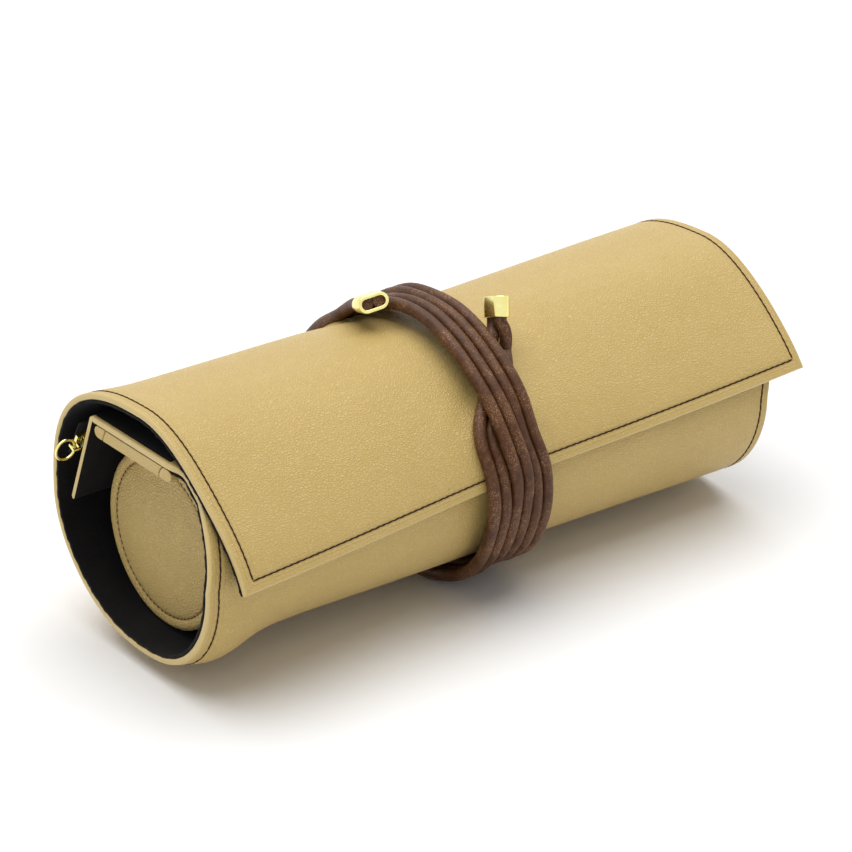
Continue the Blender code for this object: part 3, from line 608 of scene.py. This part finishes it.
def smoothCurve(points, perSpan):
    # A smooth curve through the points
    pts = [2 * points[0] - points[1]] + list(points) + [2 * points[-1] - points[-2]]
    out = []
    for i in range(1, len(pts) - 2):
        p0, p1, p2, p3 = pts[i - 1:i + 3]
        for k in range(perSpan):
            t = k / perSpan
            out.append(0.5 * (2 * p1 + (p2 - p0) * t + (2 * p0 - 5 * p1 + 4 * p2 - p3) * t ** 2
                              + (3 * p1 - p0 - 3 * p2 + p3) * t ** 3))
    out.append(pts[-2])
    return out


def pairRoute():
    # Middle line of the pair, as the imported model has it, and the counts of points in its tails
    loops = []
    laid = list(np.arange(tie.start, tie.tuckStart, -15.0))
    for wound in laid + list(np.arange(tie.tuckStart, tie.tuckEnd - 0.1, -7.5)):
        place, layer = pairPlace(wound)
        x = tie.place + place
        radius = (wrapRadius(wound % 360, x) + tie.seat + cordRadius
                  + layer * (tie.diameter + tie.crossing))
        loops.append(np.array([x, *ringPoints(wound, radius)]))
    top, tucked = ([np.array([x + tie.place, y, z]) for x, y, z in tail]
                   for tail in (tie.topTail, tie.tuckedTail))
    head = smoothCurve(top + loops[:2], 3)[:-3]
    foot = smoothCurve(loops[-2:] + tucked, 3)[3:]
    # The last points run straight through the collars
    for k in (1, 2):
        head[k] = head[0] + (head[3] - head[0]) * k / 3
        foot[-1 - k] = foot[-1] + (foot[-4] - foot[-1]) * k / 3
    return head[:-1] + loops + foot[1:], len(head) - 1, len(foot) - 1


def pairFrames(points, head, foot):
    # Directions of the pair, and the side on which its right cord lies
    count = len(points)
    tangents = unit(np.gradient(np.array(points), axis=0))
    sides = [None] * count
    for i in range(head, count - foot):
        sides[i] = unit(np.cross(tangents[i], np.array([0.0, *points[i][1:]])))
    for i in list(range(head - 1, -1, -1)) + list(range(count - foot, count)):
        last = sides[i + 1] if i < head else sides[i - 1]
        side = unit(last - tangents[i] * np.dot(last, tangents[i]))
        turn = radians(tie.twist) / (foot - 3) if head < i < count - 3 else 0.0
        sides[i] = side * cos(turn) - np.cross(tangents[i], side) * sin(turn)
    return tangents, sides


def tubePiece(name, line, sides, radius, mat, floor):
    # A round tube along a line, pressed flat on the floor; u starts on its side away from the roll
    around = 24
    line, sides = np.array(line), np.array(sides)
    tangents = unit(np.gradient(line, axis=0))
    sides = unit(sides - tangents * np.sum(sides * tangents, axis=1)[:, None])
    outs = np.cross(sides, tangents)
    a = 2 * np.pi * np.arange(around) / around
    ring = outs[:, None] * np.cos(a)[None, :, None] + sides[:, None] * np.sin(a)[None, :, None]
    points = (line[:, None] + ring * radius).reshape(-1, 3)
    points[:, 2] = np.maximum(points[:, 2], floor)
    run = runAlong(line)
    rows, cm = len(line), run / 10
    faces = bandFaces(rows, around)
    uvs = [(u / around, cm[v]) for r in range(rows - 1) for k in range(around)
           for u, v in ((k, r), (k + 1, r), (k + 1, r + 1), (k, r + 1))]
    for r in (0, rows - 1):
        faces.append(tuple(range(r * around, (r + 1) * around)))
        uvs += [(k / around, cm[r]) for k in range(around)]
    return makePiece(name, points, faces, [mat], uvs=uvs), run[-1]


def ferrulePiece(name, point, direction, side, face, mat):
    # A polished flat-oval collar; its lip rolls in over the cords' ends at the face
    up = np.cross(side, direction)
    margin = 2 * (tie.wall + cover.clearance)
    wide, high = 2 * cordPitch + margin, tie.diameter + margin
    half, lip, inner = tie.ferrule / 2, tie.lip, tie.wall + tie.rolled
    quarter = [radians(t) for t in np.linspace(0, 90, 5)]

    def corner(end, level, way, arc):
        return [(end * (half - lip + lip * cos(a)), level + way * (lip * sin(a) - lip))
                for a in arc]

    mouth = half - tie.recess
    profile = (corner(-1, 0.0, -1, quarter) + corner(1, 0.0, -1, quarter[::-1])
               + corner(1, inner, 1, quarter) + [(mouth + 0.25, inner), (mouth + 0.05, tie.wall)]
               + corner(-1, tie.wall, 1, quarter[::-1]))
    steps, points = 18, []
    for along, drop in profile:
        w, h = wide - 2 * drop, high - 2 * drop
        for sign in (1, -1):
            for i in range(steps + 1):
                a = pi * (-0.5 + i / steps)
                across = side * sign * ((w - h) / 2 + h / 2 * cos(a))
                points.append(point + direction * along * face + across
                              + up * sign * h / 2 * sin(a))
    return makePiece(name, points, bandFaces(len(profile), 2 * (steps + 1), True), [mat])


def addTie():
    leather, gold = cordFinish(), goldFinish()
    line, head, foot = pairRoute()
    tangents, sides = pairFrames(line, head, foot)
    inset = tie.ferrule / 2 - tie.recess
    collars = []
    for name, node, i, way in (("collarTop", "tie_ferrule_top", 0, 1),
                               ("collarTucked", "tie_ferrule_tucked", -1, -1)):
        middle = line[i] + way * tangents[i] * inset
        collars.append(ferrulePiece(name, middle, tangents[i], sides[i], -way, gold))
        dress(collars[-1], "roll", "pale_brass", node)
    turned = smoothCurve(sides, 4)
    for name, node, side in (("tieCordLeft", "tie_cord_left", -1),
                             ("tieCordRight", "tie_cord_right", 1)):
        own = smoothCurve([p + side * cordPitch / 2 * s for p, s in zip(line, sides)], 4)
        obj, long = tubePiece(name, own, turned, tie.drawn / 2, leather, -cover.place[2])
        dress(obj, "roll", "brown_cord", node)
        path = worldPoints(own[::-1])
    print("tie laid, each cord", round(long), "mm")


addTie()


# Stitches: one small bead repeated along a line

stitchSizes = {"Pitch": 2.7, "Length": 3.35, "Width": 0.6, "Height": 0.5, "Slant": 4.0}
bolsterStitchSizes = {"Pitch": 2.2, "Length": 1.5, "Width": 0.3, "Height": 0.26, "Slant": 4.0}


def repeatTree(name):
    # Copies of a rounded bead along a mesh line whose lift attribute is its way up
    tree = bpy.data.node_groups.new(name, "GeometryNodeTree")
    sockets = [("Geometry", "OUTPUT", "Geometry"), ("Geometry", "INPUT", "Geometry"),
               *((key, "INPUT", "Float") for key in stitchSizes), ("Finish", "INPUT", "Material")]
    for key, way, kind in sockets:
        tree.interface.new_socket(name=key, in_out=way, socket_type="NodeSocket" + kind)
    g = Graph(tree)
    given = g.node("NodeGroupInput")
    curve = g.node("GeometryNodeMeshToCurve", {"Mesh": given})
    curve = g.node("GeometryNodeResampleCurve", {"Curve": curve, 3: given.other("Pitch")})
    curve.socket.node.mode = "LENGTH"
    lift = g.node("GeometryNodeInputNamedAttribute", {"Name": "lift"}, data_type="FLOAT_VECTOR")
    tangent = g.node("GeometryNodeInputTangent")
    turned = g.node("FunctionNodeAlignRotationToVector", {"Vector": tangent}, axis="X")
    turned = g.node("FunctionNodeAlignRotationToVector", {"Rotation": turned, "Vector": lift},
                    axis="Z", pivot_axis="X")
    slant = g.node("ShaderNodeCombineXYZ", {"Z": given.other("Slant")})
    slant = g.node("FunctionNodeEulerToRotation", {0: slant})
    turned = g.node("FunctionNodeRotateRotation", {0: turned, 1: slant}, rotation_space="LOCAL")
    size = g.node("ShaderNodeCombineXYZ", {
        0: given.other("Length"), 1: given.other("Width"), 2: given.other("Height")})
    bead = g.node("GeometryNodeMeshUVSphere", {"Segments": 8, "Rings": 6, "Radius": 0.5})
    bead = g.node("GeometryNodeSetShadeSmooth", {"Geometry": bead})
    placed = g.node("GeometryNodeInstanceOnPoints", {
        "Points": curve, "Instance": bead, "Rotation": turned, "Scale": size})
    solid = g.node("GeometryNodeRealizeInstances", {"Geometry": placed})
    done = g.node("GeometryNodeSetMaterial", {"Geometry": solid, "Material": given.other("Finish")})
    out = tree.nodes.new("NodeGroupOutput")
    tree.links.new(done.socket, out.inputs["Geometry"])
    return tree


def repeated(name, tree, runs, sizes, mat):
    # Plain mesh of the tree's copies along the runs, each a pair of points and ways up
    points, lifts, edges = [], [], []
    for line, ups in runs:
        start = len(points)
        points += worldPoints(line).tolist()
        lifts += [tuple(u) for u in ups]
        edges += [(start + i, start + i + 1) for i in range(len(line) - 1)]
    mesh = bpy.data.meshes.new(name + "Line")
    mesh.from_pydata(points, edges, [])
    layer = mesh.attributes.new("lift", "FLOAT_VECTOR", "POINT")
    layer.data.foreach_set("vector", np.asarray(lifts, dtype=np.float32).ravel())
    guide = linked(name + "Line", mesh)
    step = guide.modifiers.new("copies", "NODES")
    step.node_group = tree
    given = {key: value * mm for key, value in sizes.items()}
    given.update({"Slant": radians(sizes["Slant"]), "Finish": mat})
    for item in tree.interface.items_tree:
        if item.in_out == "INPUT" and item.name in given:
            step[item.identifier] = given[item.name]
    graph = bpy.context.evaluated_depsgraph_get()
    made = bpy.data.meshes.new_from_object(guide.evaluated_get(graph))
    guide.modifiers.remove(step)
    bpy.data.objects.remove(guide)
    made.name = name
    return linked(name, made)


# Cover, lining and their seams

def bandEdges():
    # Left and right edges of the band of cords that lies on the leather, by sectors of the round
    sector, count = 5, 72
    low, high = np.full(count, 99.0), np.full(count, -99.0)
    for wound in np.arange(tie.start, tie.tuckEnd, -1.0):
        place, layer = pairPlace(wound)
        if layer < 0.3:
            k = int(wound % 360 / sector)
            low[k], high[k] = min(low[k], place), max(high[k], place)
    centres = (np.arange(count) + 0.5) * sector
    return centres, tie.place + low - cordPitch, tie.place + high + cordPitch


bandAngles, bandLow, bandHigh = bandEdges()


def lifted(angle, x):
    # The padded leather swells up to meet the cords that press on it, and dips beside them
    low, high = (np.interp(angle % 360, bandAngles, band) for band in (bandLow, bandHigh))
    reach, climb = cover.swellReach, cover.swellClimb
    inside = easing((x - low + reach) / climb) * easing((high + reach - x) / climb)
    beside = np.maximum(0.0, np.maximum(low - x, x - high))
    dip = cover.dip * bell(beside, 0.0, cover.dipReach) * (1 - inside)
    pressed = ramp(angle, *cover.swellStart) * ramp(angle, *cover.swellEnd)
    return (cover.swell * inside - dip) * pressed


leather = leatherFinish()
suede = suedeFinish()
thread = threadFinish()
stitchTree = repeatTree("stitchRun")


def coverGrid(depth, thickness, inset, radius, groove):
    # Outer and inner points of a layer at a depth, with rounded edges and the pull of the seam
    outer, inner, away = [], [], []
    length, seamFront = cover.length, cover.seamFront
    # Rows are closer together at both rims and seams
    rim = [0, 0.12, 0.3, 0.52, 0.8, 1.5, 2.6, 3.6, 4.2, 4.6, 5.0, 5.4, 5.8, 6.4, 7.4, 9.2, 11.5]
    for p in bothEnds(rim, 14.0, length, 76):
        path, normal, angles, run, x = coverRow(p, inset)
        side, front = min(p, length - p), run[-1] - run
        near = np.minimum(side, front)
        drop = rounded(near, radius)
        # Distance to the nearest seam: one along each end of the sheet, one along the flap's edge
        left, right = p - cover.seamLeft, length - p - cover.seamRight
        off = np.minimum(np.hypot(min(abs(left), abs(right)), np.maximum(0.0, seamFront - front)),
                         np.hypot(max(0.0, -left, -right), front - seamFront))
        seam = cover.seamDepth * bell(off, 0.0, cover.seamWidth) if groove else 0.0
        # The front layer puckers a little along its left seam
        pucker = bell(p, *cover.puckerAlong) * hump(angles, *cover.puckerRound)
        swell = lifted(angles, x) + cover.pucker * pucker * np.sin(run * cover.puckerBeat)
        if not groove:
            # The suede's cut edge wanders a little along both ends
            ragged = 0.12 * np.sin(run * 0.83) + 0.1 * np.sin(run * 2.1 + 1.3) + 0.1
            x = x + np.exp(-side / 1.5) * ragged * (1 if p < length / 2 else -1)
        outer.append(np.column_stack([x, path + normal * (depth + drop + seam - swell)[:, None]]))
        inner.append(np.column_stack([x, path + normal * (depth + thickness - drop - swell)[:, None]]))
        # Beside a seam fromEdge makes the finish paint shade into the groove
        away.append(np.where(off < 2.0, seamMark + off, np.minimum(near, 3.0)))
    return np.array(outer), np.array(inner), np.array(away)


def addCover():
    outer, inner, away = coverGrid(0.0, cover.thickness, 0.0, cover.edgeRound, True)
    obj = sheetPiece("coverLeather", outer, inner, [leather], edges=[away, away])
    dress(obj, "roll", "tan_leather", "outer_cover")


def addLining():
    # The lining starts a hair inside the leather, so that no gap shows between them
    depth = cover.thickness - cover.overlap
    outer, inner = coverGrid(depth, wall - cover.clearance - depth, cover.liningInset,
                             cover.liningRound, False)[:2]
    obj = sheetPiece("suedeLining", outer, inner, [suede])
    dress(obj, "roll", "black_suede", "cover_lining")


def seamRuns():
    # Lines of stitches inside the sheet's two ends and the flap's edge
    runs, points, ups = [], [], []
    sunk, half = cover.seamDepth - 0.1, stitchSizes["Length"] / 2
    left, right = cover.seamLeft, cover.length - cover.seamRight
    for p in (left, right):
        path, normal, angles, run, x = coverRow(p, fine=1.0)
        line = np.column_stack([x, path + normal * (sunk - lifted(angles, x))[:, None]])
        keep = run[-1] - run >= cover.seamFront + half
        runs.append((line[keep], np.column_stack([np.zeros(len(x)), -normal])[keep]))
    for p in np.linspace(left + half, right - half, 120):
        path, normal, angles, run, x = coverRow(p)
        here = run[-1] - cover.seamFront
        spot = np.array([np.interp(here, run, c) for c in (x, *path.T, *normal.T)])
        way = np.array([0.0, *spot[3:]])
        points.append(spot[:3] + way * sunk)
        ups.append(-way)
    return runs + [(points, ups)]


addCover()
addLining()
dress(repeated("coverStitches", stitchTree, seamRuns(), stitchSizes, thread), "roll", "brown_cord")
print("cover, lining and seams done")


# Divider with its free leaf: one strip over the panel, bent down behind it

def addDivider():
    hinge = layerPoint(panel.back + cover.clearance, dividerBottom)
    reach, lean = 2 * cover.clearance + panel.leaf, radians(panel.lean)
    outer, inner = [], []
    for along in np.linspace(-panel.front, panel.back + cover.clearance, 34):
        outer.append(layerPoint(along, dividerTop))
        inner.append(layerPoint(along, dividerBottom))
    first, bends = pi / 2 + tilt, 14
    for share in np.arange(1, bends + 1) / bends:
        turn = first + (lean - first) * share
        way = np.array([cos(turn), sin(turn)])
        outer.append(hinge + way * (panel.divider + (reach - panel.divider) * share))
        inner.append(hinge + way * (reach - panel.leaf) * share)
    foldEnd = len(outer) - 2
    down = np.array([sin(lean), -cos(lean)])
    out = np.array([cos(lean), sin(lean)])
    tip = panel.drop
    for s in [*np.linspace(1.2, tip - 2, 30), *(tip - t for t in (1.4, 0.9, 0.55, 0.3, 0.12, 0.0))]:
        drop = rounded(tip - s, 0.8)
        outer.append(hinge + out * (reach - drop) + down * s)
        inner.append(hinge + out * (reach - panel.leaf + drop) + down * s)
    outer, inner = np.array(outer), np.array(inner)
    thick, run = unit(inner - outer), runAlong(outer)
    rim = [0, 0.1, 0.25, 0.45, 0.75, 1.5, 3.0, 4.2, 5.0, 5.8, 8.0]
    places = bothEnds(rim, 12, dividerLength, 44)
    rowsOut, rowsIn, away = [], [], []
    for p in places:
        side = min(p, dividerLength - p)
        drop = rounded(side, 0.5)
        x = np.full(len(outer), layerLeft + p)
        rowsOut.append(np.column_stack([x, outer + thick * drop]))
        rowsIn.append(np.column_stack([x, inner - thick * drop * 0.3]))
        away.append(np.minimum(np.minimum(side, run[-1] - run), 3.0))
    # Leather outside, suede inside, and black suede on top between two leather borders, as painted
    # shade for the dark room under the lining above
    rows, count = len(places) - 1, len(outer) - 1
    top = np.zeros((rows, count), dtype=np.int32)
    border = np.array([min(p, dividerLength - p) for p in places[:-1]]) >= panel.border
    top[border, :foldEnd] = 1
    kinds = np.concatenate([top.ravel(), np.ones(rows * count, dtype=np.int32),
                            np.zeros(2 * (rows + count), dtype=np.int32)])
    obj = sheetPiece("dividerStrip", np.array(rowsOut), np.array(rowsIn), [leather, suede],
                     kinds=kinds, edges=[away, away])
    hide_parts("divider_flap", "divider_leaf")
    _, y, z = worldPoints([0.0, *hinge])
    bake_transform(obj)


addDivider()


# Panel: a flat covered board between two bound edges

def outlinePiece(name, outline, mat, x0, length, radius):
    # A straight piece with one section and softly rounded ends
    outline = np.array(outline)
    step = unit(np.roll(outline, -1, axis=0) - outline)
    n = unit(step + np.roll(step, 1, axis=0))
    n = np.column_stack([n[:, 1], -n[:, 0]])
    if np.sum(n * (outline - outline.mean(axis=0))) < 0:
        n = -n
    places = bothEnds([0.0, 0.06, 0.16, 0.3, radius], 3, length, 60)
    rows = [np.column_stack([np.full(len(outline), x0 + p),
                             outline - n * rounded(min(p, length - p), radius)]) for p in places]
    count, total = len(outline), len(places)
    faces = bandFaces(total, count)
    faces += [tuple(range(count)), tuple(range((total - 1) * count, total * count))]
    obj = makePiece(name, np.concatenate(rows), faces, [mat], 45)
    for k in (-1, -2):
        obj.data.polygons[k].use_smooth = False
    return obj


def addPanel():
    plain = leatherFinish("panelLeather", {**leatherLook, "bump": 0.3}, False)
    front, back = panel.back - panel.width, panel.back
    middle, half = (panelBottom + panelTop) / 2, (panelTop - panelBottom) / 2

    def curve(at, skew, bow):
        # The seam's line over the panel's end: leans forward as it rises, with a slight bow
        return [layerPoint(at - skew * t + bow * (1 - t * t), middle + half * t)
                for t in np.linspace(-1, 1, 9)]

    def nose(at, side):
        return [layerPoint(at - side * half + side * half * cos(a), middle + half * sin(a))
                for a in np.linspace(-pi / 2, pi / 2, 13)]

    edgeF = curve(front + panel.binding, 1.0, 0.9)
    edgeB = curve(back - panel.binding, 0.9, 0.2)
    gap = np.array([cos(tilt), sin(tilt)]) * panel.seamGap
    body = [p + gap for p in edgeF][::-1] + [p - gap for p in edgeB]
    fore = nose(front, -1) + [p - gap for p in edgeF][::-1]
    rear = nose(back, 1) + [p + gap for p in edgeB][::-1]
    for name, node, outline in (("panelBody", "panel_body", body),
                                ("panelBindingFront", "panel_binding_front", fore),
                                ("panelBindingBack", "panel_binding_back", rear)):
        obj = outlinePiece(name, outline, plain, layerLeft, panel.length, 0.4)
        dress(obj, "roll", "tan_leather", node)
    print("divider and panel done")


addPanel()


# Ring bolster: padded stitched ends, sleeve and filling, with room left for the boards

def aboutBolster(x, radius, a):
    return x, bolsterY + radius * cos(a), bolsterZ + radius * sin(a)


def turnedPiece(name, profile, mat, edges=None):
    # Profile points are (x, radius) about the bolster's axis; a radius of 0 makes a pole
    steps, points, faces, rings = 120, [], [], []
    for x, radius in profile:
        turns = 2 * pi * np.arange(steps) / steps if radius > 0 else [0.0]
        rings.append(range(len(points), len(points) + len(turns)))
        points += [aboutBolster(x, radius, a) for a in turns]
    pairs = list(zip(rings, rings[1:]))
    if len(rings[0]) > 1:
        pairs.append((rings[-1], rings[0]))
    for a, b in pairs:
        # A pole's one point would come twice in the face and is kept once
        for i, j in zip(range(steps), [*range(1, steps), 0]):
            quad = a[i % len(a)], b[i % len(b)], b[j % len(b)], a[j % len(a)]
            faces.append(tuple(dict.fromkeys(quad)))
    away = [edges(np.hypot(y - bolsterY, z - bolsterZ)) for x, y, z in points] if edges else None
    return makePiece(name, points, faces, [mat], edges=away)


def addBolsterEnds():
    full, flat, edge = bolsterRadius, bolsterRadius - bolster.border, bolster.edge
    endLeather = leatherFinish("bolsterLeather", {**leatherLook, "pebble": 1.1, "bump": 0.8})

    def bulge(r):
        # A crowned disc, then a stitched groove and a rolled border
        crown = bolster.crown * max(0.0, 1 - (r / flat) ** 2) ** 0.8
        if r < flat - 1.2 * edge:
            return crown
        roll = bolster.roll * sin(pi * min(1.0, max(0.0, (r - flat) / (full - flat))))
        return crown + roll - bolster.groove * bell(r, flat, bolster.grooveWidth) - 0.05

    radii = [0.0, *np.linspace(1.2, flat - 1.4, 22), *np.linspace(flat - 1.0, full - edge, 16)]
    turn, runs = np.linspace(0, 2 * np.pi, 181), []
    for name, node, x, way in (("bolsterEndLeft", "bolster_end_left", bolsterLeft, 1),
                               ("bolsterEndRight", "bolster_end_right", bolsterRight, -1)):
        profile = [(x - way * bulge(r), r) for r in radii]
        profile += [(x + way * (0.85 - 0.8 * cos(a)), full - edge + edge * sin(a))
                    for a in np.radians(np.linspace(0, 90, 6)[1:])]
        profile += [(x + way * bolster.end, full), (x + way * bolster.end, 0.0)]
        # fromEdge marks the stitched groove, where the finish paints shade, and the burnished rim
        obj = turnedPiece(name, profile, endLeather,
                          lambda r: seamMark + abs(flat - r) if r < full - 0.4 else 0.8)
        dress(obj, "roll", "tan_leather", node)
        ring = [aboutBolster(x + way * 0.12, flat, t) for t in turn]
        runs.append((ring, [(-way, 0, 0)] * len(ring)))
    stitches = repeated("bolsterStitches", stitchTree, runs, bolsterStitchSizes, thread)
    dress(stitches, "roll", "brown_cord")


def addBolsterCore():
    x0, x1 = bolsterLeft + bolster.end, bolsterRight - bolster.end
    full, under, bevel = bolsterRadius, bolsterRadius - bolster.sleeve, 0.3
    profile = [(x0, full - bevel), (x0 + bevel, full)]
    profile += [(x, full) for x in np.linspace(x0 + 3, x1 - 3, 50)]
    profile += [(x1 - bevel, full), (x1, full - bevel), (x1, under), (x0, under)]
    sleeve = turnedPiece("bolsterSleeve", profile, leatherFinish("sleeveLeather", leatherLook, False))
    dress(sleeve, "roll", "tan_leather", "bolster_sleeve")
    inside, inset = under - cover.clearance, 2 * cover.clearance + bolster.board
    side = [(0.0, 0.0), *((0.0, r) for r in np.linspace(4, inside - 1, 8)),
            (bevel, inside - bevel), (1.0, inside)]
    a, b = x0 + inset, x1 - inset
    profile = [(a + x, r) for x, r in side] + [(b - x, r) for x, r in side[::-1]]
    core = coreFinish("softFilling", (0.62, 0.59, 0.50), (0.80, 0.77, 0.68), 900.0)
    filling = turnedPiece("bolsterFilling", profile, core)
    dress(filling, "roll", "foam_filling", "bolster_filling")


addBolsterEnds()
addBolsterCore()
print("bolster done")


# Zip behind the leaf, with the ring that shows at the left mouth

zipRing = Values(wire=0.45, turns=72, around=16)


def paintNodes(mat, *names):
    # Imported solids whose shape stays
    for name in names:
        for spot in frame["nodes"][name].material_slots:
            spot.material = mat


def addTapes():
    # Both tapes make one piece, since each alone is narrower than a sheet that can be declared
    cloth, tapes, whole, width = clothFinish(), [], bmesh.new(), 0.0
    for node in ("zip_tape_upper", "zip_tape_lower"):
        solid = frame["nodes"][node]
        spots = np.array([solid.matrix_world @ v.co for v in solid.data.vertices]) / mm
        x0, x1 = spots[:, 0].min(), spots[:, 0].max()
        first = spots[np.abs(spots[:, 0] - x0) < 0.01][:, 1:] - np.array(cover.place[1:])
        first = np.unique(np.round(first, 3), axis=0)
        y, z = (first - first.mean(axis=0)).T
        section = first[np.argsort(np.arctan2(z, y))]
        width += np.linalg.norm(section - np.roll(section, -1, axis=0), axis=1).max()
        tapes.append(outlinePiece("zipTapes", section, cloth, x0 - cover.place[0], x1 - x0, 0.1))
        whole.from_mesh(tapes[-1].data)
    whole.to_mesh(tapes[0].data)
    whole.free()
    bpy.data.objects.remove(tapes[1])
    dress(tapes[0], "roll", "zip_cloth", "zip_tape_upper", "zip_tape_lower")


def addPullRing(gold):
    low, high = (np.array(c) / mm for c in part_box("zip_pull_ring"))
    centre = (low + high) / 2 - np.array(cover.place)
    joint = next(j for j in frame["record"]["behaviour"]["joints"] if j["name"] == "ring_swing")
    across, along = np.array([1.0, 0.0, 0.0]), unit(np.array(joint["axis"], dtype=float))
    up = np.cross(across, along)
    turns, around, wire = zipRing.turns, zipRing.around, zipRing.wire
    radius = (high[0] - low[0]) / 2 - wire
    points = []
    for t in 2 * np.pi * np.arange(turns) / turns:
        out = cos(t) * across + sin(t) * along
        for b in 2 * np.pi * np.arange(around) / around:
            points.append(centre + radius * out + wire * (out * cos(b) + up * sin(b)))
    ring = makePiece("pullRing", points, bandFaces(turns, around, True), [gold], 60)
    dress(ring, "pull_ring", "pale_brass", "zip_pull_ring")


def addZip():
    gold = bpy.data.materials["paleGold"]
    paintNodes(gold, "zip_teeth_upper", "zip_teeth_lower", "zip_stop_left", "zip_stop_right",
               "zip_slider")
    board = coreFinish("endBoard", (0.26, 0.22, 0.17), (0.40, 0.35, 0.28), 1500.0)
    paintNodes(board, "bolster_board_left", "bolster_board_right")
    addTapes()
    addPullRing(gold)
    print("zip done")


addZip()


# Floor and light

light = Values(world=0.39, sun=2.7, sunAngle=72.0, sunTurn=(-8.0, 3.0), floorReach=12.0)


def addFloor():
    mesh, reach = bpy.data.meshes.new("floor"), light.floorReach
    corners = [(-reach, -reach, 0), (reach, -reach, 0), (reach, reach, 0), (-reach, reach, 0)]
    mesh.from_pydata(corners, [], [(0, 1, 2, 3)])
    mat, g = newFinish("paleFloor", {"Roughness": 0.9, "Specular IOR Level": 0.0})
    g.feed(color=g.mixed(g.noise(g.place(), 3.0), (0.93, 0.93, 0.93), (0.95, 0.95, 0.95)))
    mesh.materials.append(mat)
    linked("floor", mesh)


def addLight():
    # The room lights the roll dimly, and the camera and mirrors see it white
    world = bpy.data.worlds.new("softRoom")
    bpy.context.scene.world = world
    world.use_nodes = True
    g = Graph(world.node_tree)
    ray = g.node("ShaderNodeLightPath")
    seen = (ray.other("Is Camera Ray") + ray.other("Is Glossy Ray")
            + ray.other("Is Transmission Ray")).held()
    power = seen * (1.0 - light.world) + light.world
    back = world.node_tree.nodes["Background"]
    back.inputs["Color"].default_value = (1, 1, 1, 1)
    world.node_tree.links.new(power.socket, back.inputs["Strength"])
    data = bpy.data.lights.new("softSun", "SUN")
    data.energy, data.angle = light.sun, radians(light.sunAngle)
    sun = linked("softSun", data)
    sun.rotation_euler = [radians(a) for a in (*light.sunTurn, 0.0)]
    bpy.context.scene.view_settings.view_transform = "Standard"


addFloor()
addLight()
print("scene ready")
